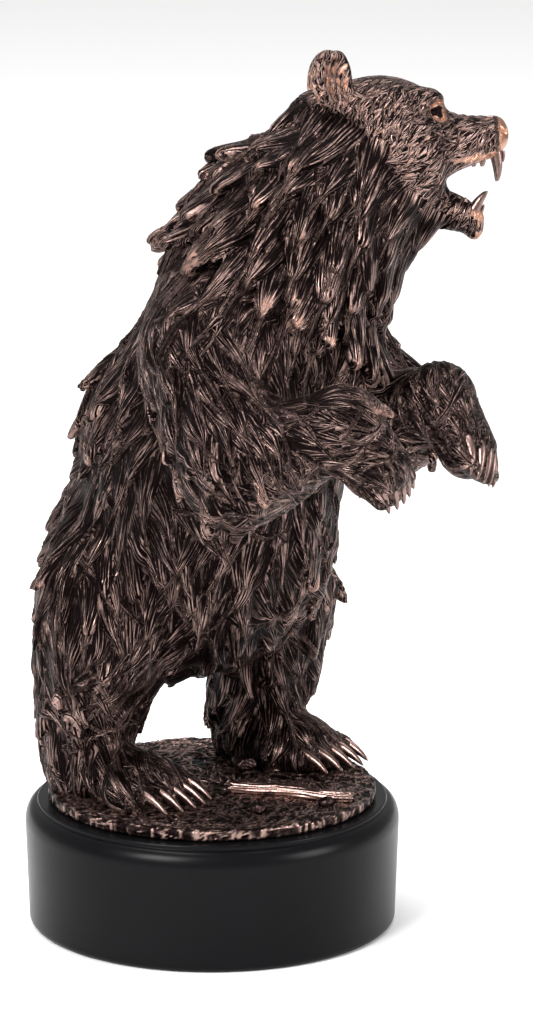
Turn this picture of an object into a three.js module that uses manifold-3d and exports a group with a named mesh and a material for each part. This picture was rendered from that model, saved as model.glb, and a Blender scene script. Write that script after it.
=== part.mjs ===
// A standing bear cast in one piece with its grassy ground, on a turned round plinth.
// Millimetres, +Z up. The plinth's axis is the Z axis and the bear's chest faces -Y.
import * as THREE from "three";
import Module from "manifold-3d";

const wasm = await Module();
wasm.setup();

// Driving sizes
const FIGURE_HEIGHT = 258; // the ear's tip stands 98 hundredths of this above the ground's face
const PLINTH_DIAMETER = 127; // across the widest line, under the round shoulder
const PLINTH_FOOT_DIAMETER = 124.6; // where the tapered side meets the foot's rounding
const PLINTH_FOOT_ROUNDING = 2.4;
const PLINTH_SIDE_HEIGHT = 35.6; // height of the widest line
const PLINTH_SHOULDER_RISE = 6.3;
const PLINTH_SHOULDER_INSET = 4.1;
const PLINTH_STEP_HEIGHT = 1.5; // low disc on top of the shoulder
const PLINTH_STEP_ROUNDING = 0.7;
const GROUND_DIAMETER = 111.2;
const GROUND_THICKNESS = 3.8;
const GROUND_EDGE_ROUNDING = 1.3;
const SEAT_CLEARANCE = 0.3; // under the cast ground, where it rests on the plinth
const STICK_LENGTH = 42;
const STICK_DIAMETER = 5.2;
const STONE_DIAMETER = 9;
const SKIN_CELL = 2.3; // spacing of the grid on which the figure's skin is found
const SKIN_TRIANGLES = 6000; // the skin is thinned out to about this many

const plinthTop = PLINTH_SIDE_HEIGHT + PLINTH_SHOULDER_RISE + PLINTH_STEP_HEIGHT;
const groundBottom = plinthTop + SEAT_CLEARANCE;
const groundTop = groundBottom + GROUND_THICKNESS;

// Places and sizes on the bear are per cent of its height figure, from the middle of the ground's face
const share = FIGURE_HEIGHT / 100;
const at = (x, y, z) => new THREE.Vector3(x * share, y * share, z * share + groundTop);
const worldAxes = [new THREE.Vector3(1, 0, 0), new THREE.Vector3(0, 1, 0), new THREE.Vector3(0, 0, 1)];

// Axes of a form that looks along forward: side, forward, up
function axesAlong(forward, up = worldAxes[2]) {
  const ahead = forward.clone().normalize();
  const side = up.clone().cross(ahead).normalize();
  return [side, ahead, ahead.clone().cross(side)];
}

// A form is a signed distance, negative inside, and the box that holds it
function roundCone(a, startRadius, b, endRadius) {
  const ra = startRadius * share;
  const rb = endRadius * share;
  const ba = b.clone().sub(a);
  const l2 = ba.lengthSq();
  const rr = ra - rb;
  const a2 = l2 - rr * rr;
  const distance = (x, y, z) => {
    const [px, py, pz] = [x - a.x, y - a.y, z - a.z];
    const along = px * ba.x + py * ba.y + pz * ba.z;
    const past = along - l2;
    const x2 = (px * l2 - ba.x * along) ** 2 + (py * l2 - ba.y * along) ** 2 + (pz * l2 - ba.z * along) ** 2;
    const y2 = along * along * l2;
    const z2 = past * past * l2;
    const k = Math.sign(rr) * rr * rr * x2;
    if (Math.sign(past) * a2 * z2 > k) return Math.sqrt(x2 + z2) / l2 - rb;
    if (Math.sign(along) * a2 * y2 < k) return Math.sqrt(x2 + y2) / l2 - ra;
    return (Math.sqrt((x2 * a2) / l2) + along * rr) / l2 - ra;
  };
  const ends = [a, b].map((p, i) => new THREE.Box3(p.clone(), p.clone()).expandByScalar(i ? rb : ra));
  return { distance, box: ends[0].union(ends[1]) };
}

function ellipsoid(centre, radii, axes = worldAxes) {
  const [rx, ry, rz] = radii.map((r) => r * share);
  const [u, v, w] = axes;
  const distance = (x, y, z) => {
    const [px, py, pz] = [x - centre.x, y - centre.y, z - centre.z];
    const a = (px * u.x + py * u.y + pz * u.z) / rx;
    const b = (px * v.x + py * v.y + pz * v.z) / ry;
    const c = (px * w.x + py * w.y + pz * w.z) / rz;
    const inner = Math.hypot(a, b, c);
    const slope = Math.hypot(a / rx, b / ry, c / rz);
    return slope > 1e-9 ? (inner * (inner - 1)) / slope : -Math.min(rx, ry, rz);
  };
  const reach = Math.max(rx, ry, rz);
  return { distance, box: new THREE.Box3(centre.clone(), centre.clone()).expandByScalar(reach) };
}

const softMin = (a, b, k) => Math.min(a, b) - (k > 0 ? Math.max(k - Math.abs(a - b), 0) ** 2 / (4 * k) : 0);

// A grid of distances into which forms are blended or carved one after another
class Clay {
  constructor(box, cell) {
    this.cell = cell;
    this.origin = box.min.clone();
    this.count = box.getSize(new THREE.Vector3()).divideScalar(cell).ceil().addScalar(1);
    this.stepY = this.count.x;
    this.stepZ = this.count.x * this.count.y;
    this.values = new Float32Array(this.stepZ * this.count.z).fill(cell * 10);
  }

  work(form, softness, mix) {
    const margin = softness + 3 * this.cell;
    const low = form.box.min.clone().subScalar(margin).sub(this.origin).divideScalar(this.cell).floor();
    const high = form.box.max.clone().addScalar(margin).sub(this.origin).divideScalar(this.cell).ceil();
    low.max(new THREE.Vector3());
    high.min(this.count.clone().subScalar(1));
    for (let k = low.z; k <= high.z; k++)
      for (let j = low.y; j <= high.y; j++)
        for (let i = low.x; i <= high.x; i++) {
          const n = i + j * this.stepY + k * this.stepZ;
          const { x, y, z } = this.origin;
          const d = form.distance(x + i * this.cell, y + j * this.cell, z + k * this.cell);
          this.values[n] = mix(this.values[n], d, softness);
        }
  }

  blend(form, softness = 3) {
    this.work(form, softness * share, softMin);
  }

  carve(form, softness = 0.6) {
    this.work(form, softness * share, (a, b, k) => -softMin(-a, b, k));
  }

  // Distance between grid points, by linear interpolation
  sample(point) {
    const p = point.clone().sub(this.origin).divideScalar(this.cell);
    const i = Math.min(Math.max(Math.floor(p.x), 0), this.count.x - 2);
    const j = Math.min(Math.max(Math.floor(p.y), 0), this.count.y - 2);
    const k = Math.min(Math.max(Math.floor(p.z), 0), this.count.z - 2);
    let sum = 0;
    for (const [a, b, c] of cubeCorners) {
      const weight = (a ? p.x - i : 1 - p.x + i) * (b ? p.y - j : 1 - p.y + j) * (c ? p.z - k : 1 - p.z + k);
      sum += weight * this.values[i + a + (j + b) * this.stepY + (k + c) * this.stepZ];
    }
    return sum;
  }

  // Where a line from inside leaves the form, with the way its skin faces there
  skinFrom(start, direction) {
    const ahead = direction.clone().normalize();
    const point = start.clone();
    for (let i = 0; i < 200 && this.sample(point) < 0; i++) point.addScaledVector(ahead, this.cell * 0.4);
    const slope = worldAxes.map((axis) => {
      const push = axis.clone().multiplyScalar(this.cell);
      return this.sample(point.clone().add(push)) - this.sample(point.clone().sub(push));
    });
    return { point, out: new THREE.Vector3(...slope).normalize() };
  }
}

const cubeCorners = [0, 1, 2, 3, 4, 5, 6, 7].map((n) => [n & 1, (n >> 1) & 1, n >> 2]);

function shapeTorso(clay) {
  clay.blend(ellipsoid(at(2.2, 9.6, 27), [15.8, 15.2, 14.6]), 0);
  clay.blend(ellipsoid(at(2, 2.8, 34.5), [16.2, 17.6, 16.6]), 5.5);
  clay.blend(ellipsoid(at(1.4, 0.4, 47.5), [16.6, 17.4, 15.2]), 5.5);
  clay.blend(ellipsoid(at(1.4, -6.5, 60), [15.3, 14.5, 13.8]), 5.5);
}

// Neck and throat, from between the shoulders to the back of the skull
const nape = [at(2.3, -8, 68.3), at(6.2, -9.8, 75), at(12.6, -15.8, 84.2)];

function shapeNeck(clay) {
  clay.blend(roundCone(nape[0], 13.4, nape[1], 12.3), 3);
  clay.blend(roundCone(nape[1], 12.2, nape[2], 7.6), 2);
  clay.blend(roundCone(at(7.9, -12.2, 71.5), 8.7, at(13, -17, 79), 6.9), 2);
}

const legs = [
  {
    hip: at(-9.4, 9.6, 26.5),
    knee: at(-10.9, 9.4, 20),
    shin: at(-10.7, 11.6, 12),
    ankle: at(-10.9, 12.7, 4.2),
    girths: [9.1, 8.4, 6.6, 5.5],
    heel: at(-11.6, 12, 2),
    ball: at(-11.8, 1.4, 2),
    toes: at(-11.6, -2.4, 1.4),
    toeSpread: 1.7,
  },
  {
    hip: at(14.2, 2, 22.5),
    knee: at(14.8, 3.2, 16),
    shin: at(14, 4, 8.6),
    ankle: at(14.6, 4.4, 3.2),
    girths: [8.8, 7.2, 5.8, 5.5],
    heel: at(15, 5, 2),
    ball: at(14.8, -2.9, 1.9),
    toes: at(15.2, -7.2, 1.6),
    toeSpread: 1.6,
  },
];

function shapeLeg(clay, leg) {
  clay.blend(roundCone(leg.hip, leg.girths[0], leg.knee, leg.girths[1]), 3);
  clay.blend(roundCone(leg.knee, leg.girths[1], leg.shin, leg.girths[2]), 2.3);
  clay.blend(roundCone(leg.shin, leg.girths[2], leg.ankle, leg.girths[3]), 2.3);
  clay.blend(roundCone(leg.heel, 4.6, leg.ball, 4.4), 2);
  for (const toe of toeOffsets)
    clay.blend(roundCone(pushed(leg.ball, toe, leg.toeSpread), 2.6, toeTip(leg, toe), 1.7), 0.9);
}

// Five toes side by side, spread wider at their tips, the outer ones set back
const toeOffsets = [-2, -1, 0, 1, 2];
const TOE_SET_BACK = 0.28;
const TOE_FLARE = 1.25;
const pushed = (from, toe, spread) => moved(from, toe * spread, TOE_SET_BACK * toe * toe, 0);
const toeTip = (leg, toe) => pushed(leg.toes, toe, leg.toeSpread * TOE_FLARE);

// A place moved by shares along the world's axes
function moved(from, x, y, z) {
  return from.clone().add(new THREE.Vector3(x, y, z).multiplyScalar(share));
}

const arms = [
  {
    shoulder: at(-11.7, -9.4, 61.8),
    elbow: at(-15, -17, 48),
    wrist: at(-11.4, -31, 55.2),
    knuckles: at(-8.9, -34.6, 49.8),
    girths: [8.6, 6.8, 4.7, 4.2],
  },
  {
    shoulder: at(12.6, -5.4, 61),
    elbow: at(15.6, -16.4, 47.6),
    wrist: at(12, -28.1, 54.1),
    knuckles: at(9.1, -35, 48.8),
    girths: [8, 6, 4.2, 3.7],
  },
];

function shapeArm(clay, arm) {
  clay.blend(roundCone(arm.shoulder, arm.girths[0], arm.elbow, arm.girths[1]), 5);
  clay.blend(roundCone(arm.elbow, arm.girths[1], arm.wrist, arm.girths[2]), 2.6);
  clay.blend(roundCone(arm.wrist, arm.girths[2], arm.knuckles, arm.girths[3]), 1.6);
  for (const toe of toeOffsets)
    clay.blend(roundCone(fingerAt(arm, toe, 0), 1.5, fingerAt(arm, toe, 2.2), 1.2), 0.6);
}

const FINGER_SPACING = 1.35;
const FINGER_REACH = 1.6;
const FINGER_SET_BACK = 0.12;
const hangOf = (arm) => arm.knuckles.clone().sub(arm.wrist).normalize();

// A finger's place across the paw, and past its knuckles along the way that the paw hangs
function fingerAt(arm, toe, past) {
  const hang = hangOf(arm);
  const across = axesAlong(hang, worldAxes[1])[0];
  const reach = FINGER_REACH + past - FINGER_SET_BACK * toe * toe;
  const place = arm.knuckles.clone().addScaledVector(hang, reach * share);
  return place.addScaledVector(across, toe * FINGER_SPACING * share);
}

// The head is turned to the bear's left and leans a little to the same side
const headTurn = THREE.MathUtils.degToRad(42);
const headPitch = THREE.MathUtils.degToRad(2);
const headLean = THREE.MathUtils.degToRad(-12);
const gaze = new THREE.Vector3(Math.sin(headTurn), -Math.cos(headTurn), Math.tan(headPitch)).normalize();
const crown = worldAxes[2].clone().applyAxisAngle(gaze, headLean);
const headAxes = axesAlong(gaze, crown);
const headCentre = at(16.4, -18, 86.2);

function onHead(side, ahead, up) {
  const place = headCentre.clone();
  [side, ahead, up].forEach((amount, i) => place.addScaledVector(headAxes[i], amount * share));
  return place;
}

function shapeHead(clay) {
  clay.blend(ellipsoid(onHead(0, -2.9, 0.5), [7.6, 9.2, 7.5], headAxes), 2.3);
  for (const side of [-1, 1]) {
    clay.blend(ellipsoid(onHead(side * 3.6, -0.7, -3.4), [4.7, 6.6, 7], headAxes), 1.8);
    clay.blend(ellipsoid(onHead(side * 2.6, 3.6, 4.3), [2.1, 2.1, 1.7], headAxes), 1.4);
  }
  clay.blend(ellipsoid(onHead(0, -10.5, 2), [5.5, 4, 4.5], headAxes), 2);
  clay.blend(roundCone(onHead(0, 4.2, -1.1), 4.1, onHead(0, 11.2, -0.4), 2.5), 2);
  for (const side of [-1, 1])
    clay.blend(roundCone(onHead(side * 2.6, 5.6, -3), 2.1, onHead(side * 1.5, 11.1, -1.4), 1.8), 1.1);
  clay.blend(ellipsoid(onHead(0, 12.4, -0.1), [1.9, 1.4, 2.2], headAxes), 0.8);
  clay.blend(roundCone(onHead(0, 2.4, -7.8), 3.6, onHead(0, 8.2, -10.7), 2), 1.4);
  clay.blend(ellipsoid(onHead(0, 9, -11.8), [1.6, 1.2, 1.8], headAxes), 0.9);
  for (const side of [-1, 1]) carveEye(clay, side);
  clay.carve(ellipsoid(onHead(0, 8.4, -6.4), [2.2, 3.4, 2.3], headAxes), 0.8);
}

function carveEye(clay, side) {
  clay.carve(ellipsoid(onHead(side * 3.5, 4.9, 3), [1.4, 1.2, 1.1], headAxes), 1);
  clay.blend(ellipsoid(onHead(side * 3.1, 4.4, 2.9), [0.9, 0.9, 0.9], headAxes), 0.2);
}

function shapeEar(clay, side) {
  const out = headAxes[1].clone().multiplyScalar(0.6).addScaledVector(headAxes[0], side * 0.8).normalize();
  const ear = axesAlong(out, crown);
  const centre = onHead(side * 5.6, -8.7, 7.6);
  clay.blend(ellipsoid(centre, [3.1, 1.6, 4.2], ear), 1);
  clay.carve(ellipsoid(centre.clone().addScaledVector(out, 1.5 * share), [2.1, 1.5, 3], ear), 0.4);
}

// A round cone pressed flat towards the skin that it lies on
function flatLock(root, startRadius, tip, endRadius, out) {
  const along = tip.clone().sub(root);
  const end = new THREE.Vector3(0, along.length(), 0);
  const cone = roundCone(new THREE.Vector3(), startRadius, end, endRadius);
  along.normalize();
  const across = along.clone().cross(out).normalize();
  const thick = across.clone().cross(along).multiplyScalar(LOCK_FLATNESS);
  const place = new THREE.Vector3();
  const distance = (x, y, z) => {
    place.set(x - root.x, y - root.y, z - root.z);
    return cone.distance(place.dot(across), place.dot(along), place.dot(thick)) * LOCK_DISTANCE_SCALE;
  };
  return { distance, box: new THREE.Box3().setFromPoints([root, tip]).expandByScalar(startRadius * share) };
}

const LOCK_FLATNESS = 1.9;
const LOCK_DISTANCE_SCALE = 0.65; // pressing a form flat overstates its distances
const LOCK_DEPTH = 0.4; // of its width, from the skin in to its root
const LOCK_TAPER = 0.34;

// One lock of fur: it starts under the skin and lifts off at its tip
function lockOfFur(skin, flow, length, width, lift) {
  const down = flow.clone().addScaledVector(skin.out, -flow.dot(skin.out)).normalize();
  const root = skin.point.clone().addScaledVector(skin.out, -width * LOCK_DEPTH * share);
  const tip = skin.point.clone().addScaledVector(down, length * share);
  tip.addScaledVector(skin.out, lift * share);
  return flatLock(root, width, tip, width * LOCK_TAPER, skin.out);
}

const LOCK_WANDER = 0.13; // of the spacing, to either side
const LOCK_VARIATION = 0.18; // of the size, up or down

// Rows of locks round an axis, each row staggered against the one before
function ringLocks(clay, from, to, row, rows, perRow, size, flow) {
  const axis = to.clone().sub(from);
  const start = from.clone().addScaledVector(axis, (row + 0.5) / rows);
  const [side, , up] = axesAlong(axis, worldAxes[1]);
  return Array.from({ length: perRow }, (_, i) => {
    const step = i + 0.5 * (row % 2) + LOCK_WANDER * Math.sin(7 * i + 3 * row);
    const turn = (step / perRow) * 2 * Math.PI;
    const direction = side.clone().multiplyScalar(Math.cos(turn)).addScaledVector(up, Math.sin(turn));
    const vary = 1 + LOCK_VARIATION * Math.sin(5.3 * i + 2.1 * row);
    return lockOfFur(clay.skinFrom(start, direction), flow, size.length * vary, size.width * vary, size.lift);
  });
}

function shapeMane(clay) {
  const rows = 7;
  const flow = nape[0].clone().sub(nape[2]).normalize().add(new THREE.Vector3(0, 0, -0.5));
  const skull = onHead(0, -5, 1);
  const locks = [];
  for (let row = 0; row < rows; row++)
    locks.push(...ringLocks(clay, skull, nape[0], row, rows, 12 + row, maneLock(row / rows), flow));
  for (const lock of locks.filter((form) => clearOfFace(form))) clay.blend(lock, 0.35);
}

// The mane's locks grow longer and stand further off towards the shoulders
function maneLock(down) {
  return { length: 4.4 + 1.6 * down, width: 2.3 + 0.7 * down, lift: 0.4 + 1.4 * down * down };
}

// The face keeps its short hair, so no lock starts ahead of the cheeks
function clearOfFace(form) {
  const middle = form.box.getCenter(new THREE.Vector3()).sub(headCentre);
  const ahead = middle.dot(headAxes[1]) / share;
  const above = middle.dot(headAxes[2]) / share;
  return ahead + above * 0.66 < -4.4 || (above < -11 && ahead < 1);
}

function shapeCoat(clay) {
  const down = new THREE.Vector3(0, 0.12, -1);
  const onTrunk = { length: 5, width: 2.1, lift: 0.3 };
  const onLeg = { length: 4.4, width: 1.9, lift: 0.3 };
  const onUpperArm = { length: 5, width: 1.9, lift: 0.25 };
  const onForearm = { length: 4, width: 1.5, lift: 0.05 };
  const locks = [];
  for (let row = 0; row < 8; row++)
    locks.push(...ringLocks(clay, at(1.8, -4, 60), at(2, 8, 22), row, 8, 15, onTrunk, down));
  for (const leg of legs)
    for (let row = 0; row < 3; row++)
      locks.push(...ringLocks(clay, leg.knee, leg.ankle, row, 3, 7, onLeg, down));
  for (const arm of arms) {
    const along = arm.wrist.clone().sub(arm.elbow).normalize();
    for (let row = 0; row < 3; row++)
      locks.push(...ringLocks(clay, arm.shoulder, arm.elbow, row, 3, 8, onUpperArm, down));
    locks.push(...ringLocks(clay, arm.elbow, arm.wrist, 0, 2, 7, onForearm, along));
    locks.push(lockOfFur(clay.skinFrom(arm.elbow, new THREE.Vector3(0, 0.4, -1)), down, 2.6, 2.2, 0.6));
  }
  for (const lock of locks) clay.blend(lock, 0.5);
}

// Fills in wherever the skin would touch itself at an edge or a corner of the grid
function unpinch(clay) {
  const { values, count, stepY, stepZ } = clay;
  const steps = [1, stepY, stepZ];
  let filled = 1;
  while (filled) {
    filled = 0;
    for (let k = 0; k < count.z - 1; k++)
      for (let j = 0; j < count.y - 1; j++)
        for (let i = 0; i < count.x - 1; i++) {
          const n = i + j * stepY + k * stepZ;
          for (let axis = 0; axis < 3; axis++) {
            const p = steps[axis];
            const q = steps[(axis + 1) % 3];
            const r = steps[(axis + 2) % 3];
            const mixed = [n + q, n + r, n + p + q, n + p + r];
            filled += fillPinch(values, [n, n + p + q], [n + p, n + q]);
            filled += fillPinch(values, [n, n + p + q + r], [n + p, n + q + r, ...mixed]);
            filled += fillPinch(values, [n + p, n + q + r], [n, n + p + q + r, ...mixed]);
          }
        }
  }
}

const FILLED_DISTANCE = -0.02; // just inside

// Where two opposite corners are alone on their side of the skin, the shallowest outer one is filled
function fillPinch(values, pair, others) {
  const inside = values[pair[0]] < 0;
  if (values[pair[1]] < 0 !== inside || others.some((n) => values[n] < 0 === inside)) return 0;
  const outer = inside ? others : pair;
  const shallowest = outer.reduce((best, n) => (values[n] < values[best] ? n : best));
  values[shallowest] = FILLED_DISTANCE;
  return 1;
}

// The skin where the distance is nil: one vertex a cell, one quad a crossed grid edge
function skinOf(clay) {
  const { values, count, stepY, stepZ, cell, origin } = clay;
  const vertexOf = new Map();
  const points = [];
  const inCell = (n) => {
    if (vertexOf.has(n)) return vertexOf.get(n);
    const sum = new THREE.Vector3();
    let cuts = 0;
    for (let c = 0; c < 8; c++)
      for (let axis = 0; axis < 3; axis++) {
        if ((c >> axis) & 1) continue;
        const [a, b] = [cubeCorners[c], cubeCorners[c | (1 << axis)]];
        const va = values[n + a[0] + a[1] * stepY + a[2] * stepZ];
        const vb = values[n + b[0] + b[1] * stepY + b[2] * stepZ];
        if (va < 0 === vb < 0) continue;
        sum.add(new THREE.Vector3(...a).lerp(new THREE.Vector3(...b), va / (va - vb)));
        cuts++;
      }
    const place = new THREE.Vector3(n % stepY, Math.floor((n % stepZ) / stepY), Math.floor(n / stepZ));
    points.push(place.addScaledVector(sum, 1 / cuts).multiplyScalar(cell).add(origin));
    vertexOf.set(n, points.length - 1);
    return points.length - 1;
  };
  const faces = [];
  const steps = [1, stepY, stepZ];
  for (let k = 1; k < count.z - 1; k++)
    for (let j = 1; j < count.y - 1; j++)
      for (let i = 1; i < count.x - 1; i++) {
        const n = i + j * stepY + k * stepZ;
        for (let axis = 0; axis < 3; axis++) {
          const inside = values[n] < 0;
          if (inside === values[n + steps[axis]] < 0) continue;
          const p = steps[(axis + 1) % 3];
          const q = steps[(axis + 2) % 3];
          const quad = [n - p - q, n - q, n, n - p].map(inCell);
          if (!inside) quad.reverse();
          faces.push([quad[0], quad[1], quad[2]], [quad[0], quad[2], quad[3]]);
        }
      }
  return { points, faces };
}

// Squared distance to the planes of a vertex's faces, as ten sums
function planeSums(points, faces) {
  const sums = points.map(() => new Float64Array(10));
  for (const [a, b, c] of faces) {
    const normal = points[b].clone().sub(points[a]).cross(points[c].clone().sub(points[a]));
    const area = normal.length() / 2;
    normal.normalize();
    const plane = [normal.x, normal.y, normal.z, -normal.dot(points[a])];
    const products = plane.flatMap((value, i) => plane.slice(i).map((other) => value * other * area));
    for (const v of [a, b, c]) products.forEach((product, n) => (sums[v][n] += product));
  }
  return sums;
}

function misfit(s, p) {
  const { x, y, z } = p;
  const first = s[0] * x * x + s[4] * y * y + s[7] * z * z + s[9];
  return first + 2 * (s[1] * x * y + s[2] * x * z + s[3] * x + s[5] * y * z + s[6] * y + s[8] * z);
}

// The place on an edge, or its middle or ends, that fits both ends' planes best
function bestPlace(a, b, sums) {
  const candidates = [0, 0.25, 0.5, 0.75, 1].map((t) => a.clone().lerp(b, t));
  const costs = candidates.map((p) => misfit(sums, p));
  const best = costs.indexOf(Math.min(...costs));
  return { place: candidates[best], cost: costs[best] + 1e-4 * a.distanceToSquared(b) };
}

const MOST_PASSES = 60;
const FACES_PER_JOIN = 12; // in one pass
const LEAST_AREA_SHARE = 0.06; // of a face's longest side squared
const LEAST_TURN_COSINE = 0.35; // between a face before and after

// Joins the ends of the cheapest edges, pass by pass, until few enough faces are left
function thinOut({ points, faces }, target) {
  let left = faces;
  const sums = planeSums(points, faces);
  for (let pass = 0; pass < MOST_PASSES && left.length > target; pass++) {
    const facesAt = points.map(() => []);
    left.forEach((face, f) => face.forEach((v) => facesAt[v].push(f)));
    const edges = [];
    for (const face of left)
      for (let i = 0; i < 3; i++) {
        const [a, b] = [face[i], face[(i + 1) % 3]];
        if (a > b) continue;
        const both = sums[a].map((value, n) => value + sums[b][n]);
        edges.push({ a, b, both, ...bestPlace(points[a], points[b], both) });
      }
    edges.sort((p, q) => p.cost - q.cost);
    const busy = new Uint8Array(points.length);
    let spare = Math.ceil(Math.min((left.length - target) / 2, left.length / FACES_PER_JOIN));
    for (const edge of edges) {
      if (spare === 0) break;
      const near = [edge.a, edge.b].map((v) => new Set(facesAt[v].flatMap((f) => left[f])));
      if (busy[edge.a] || busy[edge.b] || !mayJoin(edge, near, facesAt, left, points)) continue;
      for (const v of [...near[0], ...near[1]]) busy[v] = 1;
      points[edge.a].copy(edge.place);
      sums[edge.a] = edge.both;
      for (const f of facesAt[edge.b]) left[f] = left[f].map((v) => (v === edge.b ? edge.a : v));
      spare--;
    }
    left = left.filter(([a, b, c]) => a !== b && b !== c && c !== a);
  }
  return { points, faces: left };
}

// An edge may go when its ends share two neighbours only and no face turns over
function mayJoin({ a, b, place }, near, facesAt, faces, points) {
  const shared = [...near[0]].filter((v) => near[1].has(v) && v !== a && v !== b);
  if (shared.length !== 2) return false;
  return [...facesAt[a], ...facesAt[b]].every((f) => {
    const face = faces[f];
    if (face.includes(a) && face.includes(b)) return true;
    const before = face.map((v) => points[v]);
    const after = face.map((v) => (v === a || v === b ? place : points[v]));
    const [n0, n1] = [before, after].map(([p, q, r]) => q.clone().sub(p).cross(r.clone().sub(p)));
    const longest = Math.max(...after.map((p, i) => p.distanceToSquared(after[(i + 1) % 3])));
    const steady = n0.dot(n1) > LEAST_TURN_COSINE * n0.length() * n1.length();
    return steady && n1.length() > LEAST_AREA_SHARE * longest;
  });
}

function geometryOf({ points, faces }) {
  const geometry = new THREE.BufferGeometry();
  geometry.setAttribute("position", new THREE.Float32BufferAttribute(points.flatMap((p) => p.toArray()), 3));
  geometry.setIndex(faces.flat());
  return geometry;
}

// Solids for joining, and back to a geometry
function solidOf(geometry) {
  const positions = geometry.getAttribute("position");
  const keys = new Map();
  const vertices = [];
  const order = geometry.index ? Array.from(geometry.index.array) : [...Array(positions.count).keys()];
  const merged = order.map((i) => {
    const p = [positions.getX(i), positions.getY(i), positions.getZ(i)];
    const key = p.map((value) => Math.round(value * 1e4)).join();
    if (!keys.has(key)) {
      keys.set(key, vertices.length / 3);
      vertices.push(...p);
    }
    return keys.get(key);
  });
  const triangles = [];
  for (let i = 0; i < merged.length; i += 3) {
    const [a, b, c] = merged.slice(i, i + 3);
    if (a !== b && b !== c && c !== a) triangles.push(a, b, c);
  }
  const vertProperties = new Float32Array(vertices);
  const triVerts = new Uint32Array(triangles);
  return new wasm.Manifold(new wasm.Mesh({ numProp: 3, vertProperties, triVerts }));
}

function joined(geometries) {
  const whole = geometries.map(solidOf).reduce((sum, next) => sum.add(next));
  const mesh = whole.getMesh();
  const geometry = new THREE.BufferGeometry();
  const points = new Float32Array((mesh.vertProperties.length / mesh.numProp) * 3);
  for (let i = 0; i < points.length / 3; i++)
    points.set(mesh.vertProperties.subarray(i * mesh.numProp, i * mesh.numProp + 3), i * 3);
  geometry.setAttribute("position", new THREE.BufferAttribute(points, 3));
  geometry.setIndex(Array.from(mesh.triVerts));
  return geometry;
}

const HORN_TAPER = 0.72; // of the root's radius, lost towards the tip

// A claw or a tooth: a cone bent along its length, from root towards tip, sagging to one side
function horn(root, tip, sag, radius, sides = 6, rings = 3) {
  const middle = root.clone().lerp(tip, 0.5).add(sag.clone().multiplyScalar(share));
  const spine = new THREE.QuadraticBezierCurve3(root, middle, tip);
  const points = [];
  for (let ring = 0; ring < rings; ring++) {
    const t = ring / rings;
    const [side, , up] = axesAlong(spine.getTangent(t), sag.clone().add(new THREE.Vector3(0.01, 0.02, 0.03)));
    const r = radius * share * (1 - HORN_TAPER * t * t);
    for (let i = 0; i < sides; i++) {
      const turn = (i / sides) * 2 * Math.PI;
      const rim = side.clone().multiplyScalar(Math.cos(turn) * r).addScaledVector(up, Math.sin(turn) * r);
      points.push(spine.getPoint(t).add(rim));
    }
  }
  points.push(root.clone(), tip.clone());
  const [base, point] = [points.length - 2, points.length - 1];
  const faces = [];
  for (let i = 0; i < sides; i++) {
    const next = (i + 1) % sides;
    faces.push([base, next, i]);
    for (let ring = 0; ring < rings - 1; ring++) {
      const low = ring * sides;
      faces.push([low + i, low + sides + next, low + sides + i], [low + i, low + next, low + sides + next]);
    }
    const last = (rings - 1) * sides;
    faces.push([last + i, last + next, point]);
  }
  return geometryOf({ points, faces });
}

function footClaws(leg) {
  return toeOffsets.map((toe) => {
    const root = moved(toeTip(leg, toe), 0, 0.2, 0.5);
    const tip = moved(root, 0.1 * toe, -5, -1.6);
    return horn(root, tip, new THREE.Vector3(0, 0, 1.2), 1.1);
  });
}

function pawClaws(arm) {
  return toeOffsets.map((toe) => {
    const root = fingerAt(arm, toe, 1.6);
    const tip = moved(root.clone().addScaledVector(hangOf(arm), 3 * share), 0, 0.7, 0);
    return horn(root, tip, new THREE.Vector3(0, -0.9, 0), 0.85);
  });
}

function teeth() {
  const forward = headAxes[1].clone().multiplyScalar(0.5);
  const backward = headAxes[1].clone().multiplyScalar(-0.3);
  return [-1, 1].flatMap((side) => [
    horn(onHead(side * 1.5, 12, -2), onHead(side * 1.5, 12.2, -6.3), forward, 0.75),
    horn(onHead(side * 1.3, 9, -9.9), onHead(side * 1.5, 10.9, -7.4), backward, 0.72),
  ]);
}

// The cast ground: a disc with a rounded upper edge
function ground() {
  const radius = GROUND_DIAMETER / 2;
  const profile = [new THREE.Vector2(0, groundBottom), new THREE.Vector2(radius, groundBottom)];
  for (let i = 0; i <= 2; i++) {
    const turn = (i / 2) * (Math.PI / 2);
    const r = radius - GROUND_EDGE_ROUNDING * (1 - Math.cos(turn));
    profile.push(new THREE.Vector2(r, groundTop - GROUND_EDGE_ROUNDING * (1 - Math.sin(turn))));
  }
  profile.push(new THREE.Vector2(0, groundTop));
  return new THREE.LatheGeometry(profile, 56).rotateX(Math.PI / 2);
}

// A broken stick that lies between the feet, sunk a little into the ground
function stick() {
  const geometry = new THREE.CylinderGeometry(STICK_DIAMETER / 2, STICK_DIAMETER * 0.42, STICK_LENGTH, 9, 4);
  const positions = geometry.getAttribute("position");
  for (let i = 0; i < positions.count; i++) {
    const along = positions.getY(i) / STICK_LENGTH;
    positions.setX(i, positions.getX(i) + 1.6 * Math.sin(along * 4));
  }
  const middle = at(1.8, -12, 0.6);
  const along = at(5.9, -19.4, 0.6).sub(at(-2.3, -4.6, 0.6)).normalize();
  const turn = new THREE.Quaternion().setFromUnitVectors(worldAxes[1], along);
  return geometry.applyQuaternion(turn).translate(middle.x, middle.y, groundTop + STICK_DIAMETER * 0.28);
}

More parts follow.
